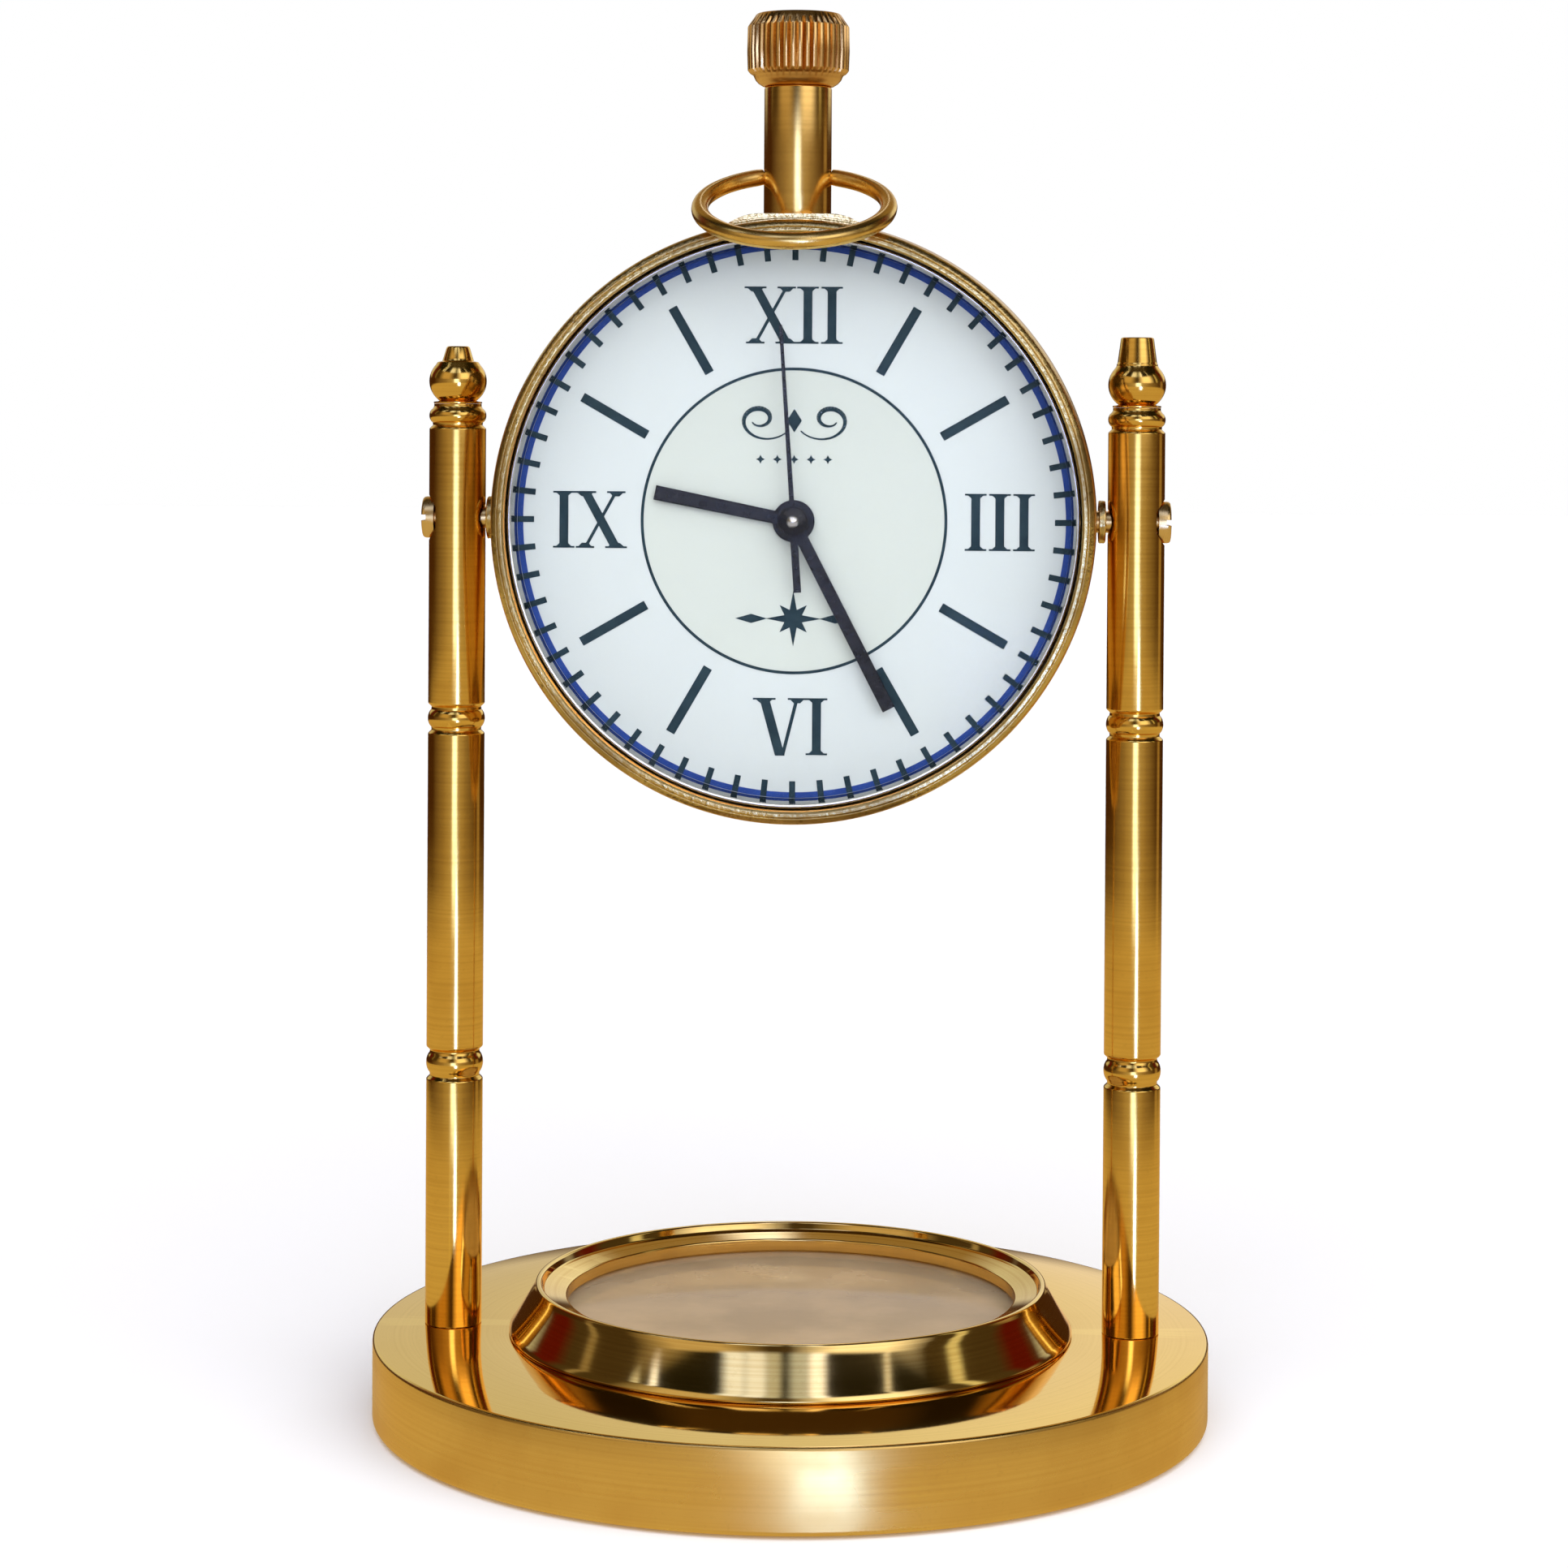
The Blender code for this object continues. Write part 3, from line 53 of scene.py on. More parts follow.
FACING = (math.pi / 2, 0, 0)  # turns a shape's +Z to the dial's side, -Y, with its +Y up
SEGMENTS = 160  # steps round a turned piece
FINE_SEGMENTS = 240  # steps round the widest pieces
SHARP = 35  # an edge that turns by more degrees than this stays a corner
ORIGIN = (0, 0, 0)
ACROSS = (0, math.pi / 2, 0)  # turns a shape's +Z to the right
RIGHT, AWAY, UP = Vector((1, 0, 0)), Vector((0, 1, 0)), Vector((0, 0, 1))


def low(node):
    """A CAD node's lowest corner in millimetres."""
    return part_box(node)[0] / MM


def high(node):
    """A CAD node's highest corner in millimetres."""
    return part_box(node)[1] / MM


AXIS = (low("dial").z + high("dial").z) / 2
POST_X = (low("post_right").x + high("post_right").x) / 2
HEAD_AT = (0, 0, AXIS)
STEM_BORE, TRUNNION_BORE, SCREW_BORE = 1.5, 1.6, 1.5  # radii


def depth(node):
    """A node's back and front, measured from the trunnion axis towards the dial's side."""
    return -high(node).y, -low(node).y


def radius(node):
    """Half of a node's width."""
    return (high(node).x - low(node).x) / 2


# ---- meshes


def finish_mesh(bm, sharp=SHARP):
    """Turn a bmesh in millimetres into a closed mesh in metres, smooth but for its corners."""
    bmesh.ops.remove_doubles(bm, verts=bm.verts, dist=1e-4)
    bmesh.ops.recalc_face_normals(bm, faces=bm.faces)
    bmesh.ops.scale(bm, vec=(MM, MM, MM), verts=bm.verts)
    mesh = bpy.data.meshes.new("mesh")
    bm.to_mesh(mesh)
    bm.free()
    smooth(mesh, sharp)
    return mesh


def smooth(mesh, sharp):
    """Shade a mesh smooth but for its corners."""
    mesh.shade_smooth()
    mesh.set_sharp_from_angle(angle=math.radians(sharp))


def softened(points, steps):
    """A closed outline with rounded corners. Points are (radius, height), some with a rounding."""
    result = []
    for i, point in enumerate(points):
        here = Vector(point[:2])
        if len(point) < 3:
            result.append(here)
            continue
        before = Vector(points[i - 1][:2]) - here
        after = Vector(points[(i + 1) % len(points)][:2]) - here
        start = here + before.normalized() * min(point[2], 0.45 * before.length)
        end = here + after.normalized() * min(point[2], 0.45 * after.length)
        for k in range(steps + 1):
            t = k / steps
            result.append(start * (1 - t) ** 2 + here * (2 * t * (1 - t)) + end * t**2)
    return [tuple(point) for point in result]


def turned(outline, rounding=2, steps=SEGMENTS, sharp=SHARP):
    """A solid turned about Z from a closed outline, with the number of steps in its rounded corners."""
    bm = bmesh.new()
    verts = [bm.verts.new((r, 0, h)) for r, h in softened(outline, rounding)]
    edges = [bm.edges.new((verts[i - 1], verts[i])) for i in range(len(verts))]
    on_axis = [e for e in edges if all(v.co.x < 1e-6 for v in e.verts)]
    bmesh.ops.delete(bm, geom=on_axis, context="EDGES")
    around = [e for e in edges if e.is_valid]
    bmesh.ops.spin(
        bm, geom=around, axis=(0, 0, 1), cent=(0, 0, 0), angle=math.tau, steps=steps, use_merge=True
    )
    return finish_mesh(bm, sharp)


def flat_fill(outlines):
    """Triangles that cover the union of closed outlines, which may overlap."""
    points, loops = [], []
    for outline in outlines:
        loops.append(list(range(len(points), len(points) + len(outline))))
        points.extend(Vector(p) for p in outline)
    verts, _, faces, *_ = delaunay_2d_cdt(points, [], loops, 1, 1e-6)
    return verts, faces


def plate(outlines, back, front, bevel=0.0):
    """A flat solid between two depths, over the union of outlines. Its front edges may be rounded."""
    bm = bmesh.new()
    verts, faces = flat_fill(outlines)
    made = [bm.verts.new((v.x, v.y, back)) for v in verts]
    for face in faces:
        bm.faces.new([made[i] for i in face])
    bmesh.ops.delete(bm, geom=[v for v in bm.verts if not v.link_faces], context="VERTS")
    bmesh.ops.recalc_face_normals(bm, faces=bm.faces)
    raised = bmesh.ops.extrude_face_region(bm, geom=bm.faces[:])
    moved = [g for g in raised["geom"] if isinstance(g, bmesh.types.BMVert)]
    bmesh.ops.translate(bm, verts=moved, vec=(0, 0, front - back))
    bmesh.ops.dissolve_limit(bm, angle_limit=0.001, verts=bm.verts[:], edges=bm.edges[:])
    if bevel:
        top = [e for e in bm.edges if is_rim(e, front)]
        bmesh.ops.bevel(bm, geom=top, offset=bevel, segments=3, affect="EDGES", clamp_overlap=True)
    return finish_mesh(bm)


def is_rim(edge, height):
    """Whether an edge runs round the face at that height."""
    level = all(abs(v.co.z - height) < 1e-5 for v in edge.verts)
    return level and len(edge.link_faces) == 2 and edge.calc_face_angle(0) > 1.0


def circle(r, steps):
    """Points round a circle."""
    turns = [math.tau * i / steps for i in range(steps)]
    return [(r * math.cos(a), r * math.sin(a)) for a in turns]


def arc(centre, rx, ry, start, end, steps):
    """Points along an elliptic arc, with its angles in degrees."""
    angles = [math.radians(start + (end - start) * i / steps) for i in range(steps + 1)]
    return [(centre[0] + rx * math.cos(a), centre[1] + ry * math.sin(a)) for a in angles]


def rod(r, bottom, top, steps=32):
    """A plain cylinder about Z, to cut with."""
    return turned([(0, top), (r, top), (r, bottom), (0, bottom)], steps=steps)


def added(name, data):
    """A new object in the scene."""
    item = bpy.data.objects.new(name, data)
    bpy.context.scene.collection.objects.link(item)
    return item


def cut(shape, at=ORIGIN, turn=ORIGIN):
    """A tool that takes a shape away, with its place in millimetres."""
    return "DIFFERENCE", shape, at, turn


def carved(mesh, *tools):
    """A mesh after boolean work. Each tool is (operation, shape, place in millimetres, turn)."""
    target = added("target", mesh)
    helpers = []
    for operation, shape, at, turn in tools:
        helper = added("tool", shape)
        helper.location = Vector(at) * MM
        helper.rotation_euler = turn
        helpers.append(helper)
        modifier = target.modifiers.new("carve", "BOOLEAN")
        modifier.operation = operation
        modifier.solver = "EXACT"
        modifier.object = helper
    depsgraph = bpy.context.evaluated_depsgraph_get()
    result = bpy.data.meshes.new_from_object(target.evaluated_get(depsgraph))
    for used in (target, *helpers):
        bpy.data.meshes.remove(used.data)
    smooth(result, SHARP)
    return result


def piece(name, mesh, look, body, nodes=(), at=ORIGIN, turn=ORIGIN):
    """A finished piece: its place, its material, the body it moves with and the CAD nodes it stands for."""
    item = added(name, mesh)
    item.location = Vector(at) * MM
    item.rotation_euler = turn
    mesh.name = name
    mesh.materials.clear()
    mesh.materials.append(look)
    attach(item, body)
    if nodes:
        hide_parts(*nodes)
    return item


def head_piece(name, mesh, look, nodes=(), body="head"):
    """A piece of the head, made about the dial's centre with its +Z towards the dial's side."""
    return piece(name, mesh, look, body, nodes, HEAD_AT, FACING)


def second_look(item, look, test):
    """Give the faces that pass a test another material."""
    item.data.materials.append(look)
    for polygon in item.data.polygons:
        if test(polygon):
            polygon.material_index = 1


# ---- materials


def new_look(name):
    """An empty Principled material: the material, its tree and its shader."""
    look = bpy.data.materials.new(name)
    look.use_nodes = True
    return look, look.node_tree, look.node_tree.nodes["Principled BSDF"]


def put(tree, socket, value):
    """Link a socket to an output, or set its value."""
    if isinstance(value, bpy.types.NodeSocket):
        tree.links.new(value, socket)
    else:
        socket.default_value = value


def node(tree, kind, inputs=None, **settings):
    """A node with its settings and inputs."""
    made = tree.nodes.new(kind)
    for key, value in settings.items():
        setattr(made, key, value)
    for key, value in (inputs or {}).items():
        put(tree, made.inputs[key], value)
    return made


def calc(tree, operation, a, b=0.0):
    """One step of arithmetic."""
    return node(tree, "ShaderNodeMath", {0: a, 1: b}, operation=operation).outputs[0]


def noise(tree, vector, scale, detail):
    """A noise value from 0 to 1, about 0.5 on average."""
    inputs = {"Vector": vector, "Scale": scale, "Detail": detail}
    return node(tree, "ShaderNodeTexNoise", inputs).outputs[0]


def remap(tree, value, start, end, low_value=0.0, high_value=1.0):
    """A value spread from one range to another, and held at its ends."""
    inputs = {0: value, 1: start, 2: end, 3: low_value, 4: high_value}
    return node(tree, "ShaderNodeMapRange", inputs).outputs[0]


def mixed(tree, factor, a, b):
    """A colour between two others."""
    return node(tree, "ShaderNodeMix", {0: factor, 6: a, 7: b}, data_type="RGBA").outputs[2]


def place_on(tree):
    """The point on the piece, in its own axes."""
    return node(tree, "ShaderNodeTexCoord").outputs["Object"]


def ring_coordinates(tree, point):
    """A point's distance from the turning axis and its height, so that a pattern runs in rings."""
    split = node(tree, "ShaderNodeSeparateXYZ", {0: point})
    flat = node(tree, "ShaderNodeCombineXYZ", {0: split.outputs[0], 1: split.outputs[1]}).outputs[0]
    reach = node(tree, "ShaderNodeVectorMath", {0: flat}, operation="LENGTH").outputs["Value"]
    return node(tree, "ShaderNodeCombineXYZ", {0: reach, 2: split.outputs[2]}).outputs[0]


def shade(colour, factor):
    """A colour made lighter or darker."""
    return (*(min(1.0, c * factor) for c in colour[:3]), 1.0)


def surface(tree, shader, colour, roughness, height, strength, distance=0.00004):
    """Set a shader's colour, roughness and fine relief. The relief's depth is in metres."""
    bump = node(tree, "ShaderNodeBump", {"Strength": strength, "Distance": distance, "Height": height})
    put(tree, shader.inputs["Base Color"], colour)
    put(tree, shader.inputs["Roughness"], roughness)
    put(tree, shader.inputs["Normal"], bump.outputs[0])


EDGE_TINT = (1.0, 0.84, 0.62, 1)  # what brass reflects at a grazing angle stays warm
MARK_SCALE, BAND_SCALE, CLOUD_SCALE = 2600, 260, 70  # how fine brass's patterns are, per metre


def brass(name, colour, tarnish, roughness, rings, grain, patches=0.35, grain_size=1500):
    """Worked brass: tool marks in rings, fine grain, tarnish in patches, and corners lighter from wear and a
    painted highlight.
    """
    look, tree, shader = new_look(name)
    point = place_on(tree)
    around = ring_coordinates(tree, point)
    marks = noise(tree, around, MARK_SCALE, 2)
    bands = noise(tree, around, BAND_SCALE, 2)
    clouds = noise(tree, point, CLOUD_SCALE, 5)
    specks = noise(tree, point, grain_size, 3)
    stain = remap(tree, clouds, 0.46, 0.72, 0.0, patches)
    tone = mixed(tree, stain, (*colour, 1), (*tarnish, 1))
    tone = mixed(tree, remap(tree, marks, 0.4, 0.75, 0.0, 0.35), tone, shade(tarnish, 0.9))
    pits = remap(tree, specks, 0.60, 0.72, 0.0, min(0.6, 0.08 + 0.4 * grain))
    tone = mixed(tree, pits, tone, shade(tarnish, 0.6))
    # Sharp outer corners are painted lighter: partly wear, partly a painted highlight along the edges.
    wear_and_edge_highlight = node(tree, "ShaderNodeNewGeometry").outputs["Pointiness"]
    tone = mixed(tree, remap(tree, wear_and_edge_highlight, 0.505, 0.56, 0.0, 0.6), tone, shade(colour, 1.18))
    spread = 0.45 * roughness
    rough = remap(tree, bands, 0.35, 0.7, 0.0, spread)
    rough = calc(tree, "ADD", rough, remap(tree, clouds, 0.4, 0.7, 0.0, spread))
    rough = calc(tree, "ADD", rough, roughness)
    height = calc(tree, "MULTIPLY", marks, rings)
    height = calc(tree, "ADD", height, calc(tree, "MULTIPLY", specks, grain))
    surface(tree, shader, tone, rough, height, 0.35, 0.00006)
    shader.inputs["Metallic"].default_value = 1.0
    shader.inputs["Specular Tint"].default_value = EDGE_TINT
    return look


def painted(name, colour, second, roughness, size=400, contrast=0.5, bump_size=3000, bump=0.15, gloss=0.5):
    """Paint, plastic or card: two close tones in patches, with a fine uneven surface."""
    look, tree, shader = new_look(name)
    point = place_on(tree)
    patches = noise(tree, point, size, 4)
    fine = noise(tree, point, bump_size, 3)
    factor = remap(tree, patches, 0.35, 0.7, 0.0, contrast)
    tone = mixed(tree, factor, (*colour, 1), (*second, 1))
    rough = remap(tree, fine, 0.3, 0.7, roughness - 0.05, roughness + 0.1)
    surface(tree, shader, tone, rough, fine, bump)
    shader.inputs["Specular IOR Level"].default_value = gloss
    return look


def steel(name, colour, roughness):
    """Turned steel, with fine rings and faint stains."""
    look, tree, shader = new_look(name)
    point = place_on(tree)
    marks = noise(tree, ring_coordinates(tree, point), 3000, 2)
    stains = noise(tree, point, 300, 4)
    stain = remap(tree, stains, 0.5, 0.75, 0, 0.6)
    tone = mixed(tree, stain, (*colour, 1), shade(colour, 0.55))
    rough = remap(tree, marks, 0.3, 0.7, roughness, 1.6 * roughness)
    surface(tree, shader, tone, rough, marks, 0.2)
    shader.inputs["Metallic"].default_value = 1.0
    return look


def glass(name, tint, smear, index, clarity=1.0):
    """Glass with faint smear marks, which lets light through to what is behind it. Below full clarity part of
    it is a diffuse surface in its tint, and its tint is lighter in patches; on the compass glass these are
    painted shade and a painted reflection.
    """
    look, tree, shader = new_look(name)
    point = place_on(tree)
    smears_and_glow = noise(tree, point, 90, 5)
    put(tree, shader.inputs["Roughness"], remap(tree, smears_and_glow, 0.45, 0.75, 0.3 * smear, smear))
    # Lighter patches of tint: on the compass glass a painted reflection of the room's glows.
    tone = mixed(tree, remap(tree, smears_and_glow, 0.4, 0.8), (*tint, 1), shade(tint, 1.35))
    put(tree, shader.inputs["Base Color"], tone)
    shader.inputs["Transmission Weight"].default_value = clarity
    shader.inputs["IOR"].default_value = index
    clear = node(tree, "ShaderNodeBsdfTransparent", {"Color": (*tint, 1)})
    path = node(tree, "ShaderNodeLightPath").outputs["Is Shadow Ray"]
    both = node(tree, "ShaderNodeMixShader", {0: path, 1: shader.outputs[0], 2: clear.outputs[0]})
    tree.links.new(both.outputs[0], tree.nodes["Material Output"].inputs["Surface"])
    return look


def felt(name):
    """Wool felt: tangled fibres, soft and matte."""
    look, tree, shader = new_look(name)
    point = place_on(tree)
    fibres = noise(tree, point, 2200, 6)
    clumps = noise(tree, point, 220, 4)
    tone = mixed(tree, remap(tree, fibres, 0.35, 0.65), (0.012, 0.060, 0.032, 1), (0.035, 0.130, 0.072, 1))
    tone = mixed(tree, remap(tree, clumps, 0.5, 0.75, 0, 0.5), tone, (0.010, 0.050, 0.030, 1))
    surface(tree, shader, tone, 0.95, fibres, 0.9, 0.0002)
    shader.inputs["Sheen Weight"].default_value = 0.5
    return look


GOLD = (0.88, 0.52, 0.11)
GOLD_DARK = (0.58, 0.27, 0.035)
POLISHED = brass("polished_brass_look", GOLD, GOLD_DARK, 0.10, rings=0.08, grain=0.03, patches=0.30)
POST = brass("post_brass_look", GOLD, GOLD_DARK, 0.11, rings=0.03, grain=0.06, patches=0.50)
BASE_TOP = brass("base_top_brass_look", (0.89, 0.56, 0.15), (0.74, 0.42, 0.08), 0.045, 0.03, 0.02, 0.25)
BASE_SIDE = brass("base_side_brass_look", (0.90, 0.56, 0.16), (0.76, 0.38, 0.07), 0.20, 0.05, 0.08, 0.5, 1800)
SATIN = brass("satin_brass_look", (0.76, 0.50, 0.19), (0.42, 0.24, 0.07), 0.20, 0.10, 0.5, 0.35, 900)
STIPPLED = brass("stippled_brass_look", (0.70, 0.49, 0.18), (0.20, 0.11, 0.03), 0.20, 2.5, 4.5, 0.8, 1500)
NECK = brass("neck_brass_look", (0.84, 0.51, 0.14), (0.54, 0.28, 0.05), 0.13, rings=0.06, grain=0.15)
BOW_GOLD = brass("bow_brass_look", (0.82, 0.52, 0.15), (0.50, 0.28, 0.05), 0.20, rings=0.0, grain=0.25)
CROWN = brass("crown_brass_look", (0.80, 0.47, 0.16), (0.44, 0.19, 0.05), 0.19, 0.0, 0.35, 0.6)
FILED = brass("filed_brass_look", (0.88, 0.62, 0.25), (0.30, 0.16, 0.04), 0.20, 6.0, 5.0, 0.8, 1300)
COMPASS_BRASS = brass("compass_brass_look", (0.88, 0.60, 0.20), GOLD_DARK, 0.06, 0.0, 0.02, 0.2)
CRYSTAL = glass("crystal_look", (1.0, 1.0, 1.0), 0.01, 1.06)
# The compass glass's brown tint, shown as a diffuse colour where it isn't clear, is painted: painted shade of
# the compass's inside and a painted reflection of the room.
COMPASS_GLASS = glass("compass_glass_look", (0.66, 0.54, 0.37), 0.30, 1.04, 0.66)
DIAL = painted("dial_look", (0.415, 0.453, 0.446), (0.400, 0.438, 0.432), 0.45, 60, 0.6, 3000, 0.05, 0.2)
CREAM = painted(
    "dial_centre_look", (0.388, 0.422, 0.386), (0.374, 0.408, 0.375), 0.45, 60, 0.6, 3000, 0.05, 0.2
)
INK = painted("ink_look", (0.007, 0.018, 0.026), (0.018, 0.036, 0.046), 0.55, 500, 0.6, gloss=0.1)
BLUE = painted("blue_ink_look", (0.010, 0.030, 0.15), (0.016, 0.045, 0.20), 0.50, 300, 0.6, gloss=0.1)
BLACK = painted(
    "black_enamel_look", (0.003, 0.003, 0.004), (0.007, 0.007, 0.009), 0.20, 900, 0.7, 2500, 0.2, 0.16
)
STEEL = steel("steel_look", (0.55, 0.56, 0.58), 0.24)
MIRROR = steel("ring_steel_look", (0.36, 0.35, 0.34), 0.05)
FELT = felt("felt_look")
CARD = painted("card_look", (0.16, 0.125, 0.085), (0.115, 0.090, 0.062), 0.42, 120, 0.8, bump=0.1)
CARD_INK = painted("card_ink_look", (0.045, 0.036, 0.030), (0.060, 0.050, 0.040), 0.5)
WHITE_PLASTIC = painted("white_plastic_look", (0.72, 0.71, 0.66), (0.64, 0.62, 0.56), 0.38)
BLACK_PLASTIC = painted("black_plastic_look", (0.018, 0.018, 0.019), (0.032, 0.032, 0.034), 0.45, bump=0.4)
RUBBER = painted("rubber_look", (0.014, 0.014, 0.014), (0.026, 0.025, 0.024), 0.75, bump=0.5)
COPPER = brass("copper_wire_look", (0.80, 0.36, 0.18), (0.40, 0.14, 0.06), 0.30, rings=1.0, grain=0.1)
BOARD = painted("circuit_look", (0.012, 0.10, 0.045), (0.02, 0.16, 0.07), 0.35, size=900, contrast=0.9)

# ---- base and compass


def build_base():
    """The turned base, with its well and the bores for the posts' screws."""
    r, top, under = radius("base"), high("base").z, low("base").z
    well, floor = high("compass_bowl").x + 0.4, low("compass_bowl").z - 0.3
    felt_r, felt_top = radius("base_felt") + 0.3, high("base_felt").z + 0.3
    outline = [
        (0, floor), (well, floor), (well, top, 0.2), (r, top, 0.45), (r, under, 0.6),
        (felt_r, under, 0.3), (felt_r, felt_top), (0, felt_top),
    ]
    mesh = turned(outline, 4, FINE_SEGMENTS)
    head_r, sink = radius("post_screw_right") + 0.3, 4.3
    tools = []
    for side in (-1, 1):
        at = (side * POST_X, 0, 0)
        tools.append(cut(rod(SCREW_BORE, 0, top + 1), at))
        tools.append(cut(rod(head_r, 0, sink), at))
    item = piece("base_plate", carved(mesh, *tools), BASE_SIDE, "base", ["base"])
    second_look(item, BASE_TOP, lambda face: face.normal.z > 0.75)


def build_felt():
    """The felt under the base, slightly crowned at its edge."""
    r, top = radius("base_felt"), high("base_felt").z
    outline = [(0, top), (r, top, 0.3), (r, 0, 0.5), (0, 0)]
    piece("felt_pad", turned(outline, 4, 96), FELT, "base", ["base_felt"])


def build_compass_ring():
    """The flared ring: a thin lip, a flat land, a step and a wall down to the glass."""
    foot, top = high("base").z + 0.02, high("compass_ring").z
    wide, lip = radius("compass_ring"), 30.7
    seat = high("compass_glass").z + 0.3
    bore, inner = radius("compass_glass") + 0.3, 26.9
    outline = [
        (wide - 0.1, foot, 0.1), (bore, foot), (bore, seat), (inner, seat, 0.12), (inner, 14.35, 0.2),
        (29.65, 14.95, 0.15), (29.95, top - 0.05, 0.2), (lip - 0.15, top, 0.25), (lip, top - 0.45, 0.2),
        *flare((lip + 0.1, top - 0.7), (wide - 0.03, foot + 0.4), 0.05), (wide, foot + 0.2, 0.1),
    ]
    mesh = turned(outline, 4, FINE_SEGMENTS, sharp=40)
    piece("compass_bezel", mesh, COMPASS_BRASS, "base", ["compass_ring"])


def flare(start, end, sag):
    """Points along a slightly hollow slope between two others."""
    steps = 8
    a, b = Vector(start), Vector(end)
    inward = Vector((a.y - b.y, b.x - a.x)).normalized() * -1
    points = []
    for i in range(steps + 1):
        t = i / steps
        points.append(tuple(a.lerp(b, t) + inward * sag * 4 * t * (1 - t)))
    return points


def build_compass_glass():
    """The flat glass over the compass, with an arrised edge."""
    r, back, top = radius("compass_glass"), low("compass_glass").z, high("compass_glass").z
    outline = [(0, top), (r, top, 0.25), (r, back, 0.25), (0, back)]
    mesh = turned(outline)
    piece("compass_window", mesh, COMPASS_GLASS, "base", ["compass_glass"])


def stroke(start, end, start_width, end_width):
    """The corners of a straight stroke between two points."""
    a, b = Vector(start), Vector(end)
    along = (b - a).normalized()
    across = Vector((-along.y, along.x)) / 2
    corners = (a + across * start_width, a - across * start_width)
    corners += (b - across * end_width, b + across * end_width)
    return [tuple(corner) for corner in corners]


def bar(angle, start, end, width):
    """A straight bar along a radius. The angle is in degrees clockwise from the top."""
    way = Vector((math.sin(math.radians(angle)), math.cos(math.radians(angle))))
    return stroke(way * start, way * end, width, width)


def annulus(inner, outer, back, front):
    """A flat ring."""
    return turned([(inner, back), (outer, back), (outer, front), (inner, front)])


def star(centre, points, outer, inner, turn=0.0):
    """A star's outline."""
    result = []
    for i in range(points * 2):
        reach = inner if i % 2 else outer
        angle = turn + math.pi * i / points
        result.append((centre[0] + reach * math.sin(angle), centre[1] + reach * math.cos(angle)))
    return result


def letter(strokes, angle, reach, size):
    """A letter's strokes, as (start, end, width) in its own square, set upright at an angle on the card."""
    turn = Matrix.Rotation(-math.radians(angle), 2)
    shapes = []
    for start, end, width in strokes:
        a, b = Vector(start) * size, Vector(end) * size
        past = (b - a).normalized() * width / 2
        corners = stroke(a - past, b + past, width, width)
        shapes.append([tuple(turn @ (Vector(corner) + Vector((0, reach)))) for corner in corners])
    return shapes


CARDINALS = {
    0: [((-0.4, -0.5), (-0.4, 0.5), 0.5), ((-0.4, 0.5), (0.4, -0.5), 0.5), ((0.4, -0.5), (0.4, 0.5), 0.5)],
    90: [((-0.3, -0.5), (-0.3, 0.5), 0.5)] + [((-0.3, y), (0.35, y), 0.45) for y in (-0.5, 0, 0.5)],
    180: [((-0.3, y), (0.3, y), 0.45) for y in (-0.5, 0, 0.5)]
    + [((-0.3, 0), (-0.3, 0.5), 0.45), ((0.3, -0.5), (0.3, 0), 0.45)],
    270: [((-0.55, 0.5), (-0.28, -0.5), 0.45), ((-0.28, -0.5), (0, 0.3), 0.4)]
    + [((0, 0.3), (0.28, -0.5), 0.4), ((0.28, -0.5), (0.55, 0.5), 0.45)],
}


def build_compass_card():
    """The card with its printed rose, degree marks and cardinal letters."""
    r, back, top = radius("compass_card"), low("compass_card").z, high("compass_card").z
    outline = [(1.6, back), (r, back, 0.1), (r, top, 0.1), (1.6, top)]
    mesh = turned(outline, 2, 120)
    piece("card_disc", mesh, CARD, "base", ["compass_card"])
    marks = [bar(i * 5, r - (3.2 if i % 6 == 0 else 2.0), r - 0.8, 0.25) for i in range(72)]
    marks.append(star((0, 0), 4, 13.5, 2.6))
    marks.append(star((0, 0), 4, 9.0, 2.8, math.pi / 4))
    for angle, strokes in CARDINALS.items():
        marks.extend(letter(strokes, angle, 17.6, 3.6))
    print_mesh = plate(marks, top + 0.01, top + 0.04)
    piece("card_print", print_mesh, CARD_INK, "base")


def build_needle():
    """The needle's two painted halves and its brass cap."""
    back, front = low("compass_needle").z, high("compass_needle").z
    tip, heading = far_point("compass_needle", Vector(ORIGIN), (RIGHT, AWAY))
    half = 2.5
    turn = (0, 0, -heading)
    halves = {"north": (1, BLUE), "south": (-1, STEEL)}
    for name, (way, look) in halves.items():
        bore = arc((0, 0), 1.5, 1.5, 5 * way, 175 * way, 12)
        shape = [(-half, way * 0.05), *reversed(bore), (half, way * 0.05), (0, way * tip)]
        mesh = plate([shape], back, front, bevel=0.08)
        nodes = ["compass_needle"] if way > 0 else []
        piece(f"needle_{name}", mesh, look, "compass_needle", nodes, turn=turn)
    cap_back, cap_top = low("needle_cap").z, high("needle_cap").z
    dome = arc((0, front + 0.2), 1.3, cap_top - front - 0.2, 0, 84, 7)
    outline = [(0, cap_top - 0.9), (0.7, cap_back), (1.3, cap_back, 0.1), *dome, (0, cap_top)]
    mesh = turned(outline, 2, 48)
    piece("compass_cap", mesh, POLISHED, "compass_needle", ["needle_cap"])


# ---- posts

BEADS = ((40.0, 43.1), (81.7, 84.5), (118.4, 120.7))  # each bead's bottom and top


def bead_outline(bottom, top, r):
    """A rounded bead between two V grooves, from its top down."""
    groove = r - 0.42
    middle, half = (bottom + top) / 2, (top - bottom) / 2
    bulge = arc((r - 0.75, middle), 0.78, half - 0.2, 62, -62, 8)
    above, below = (r, top + 0.4, 0.12), (r, bottom - 0.4, 0.12)
    return [above, (groove, top, 0.05), *bulge, (groove, bottom, 0.05), below]


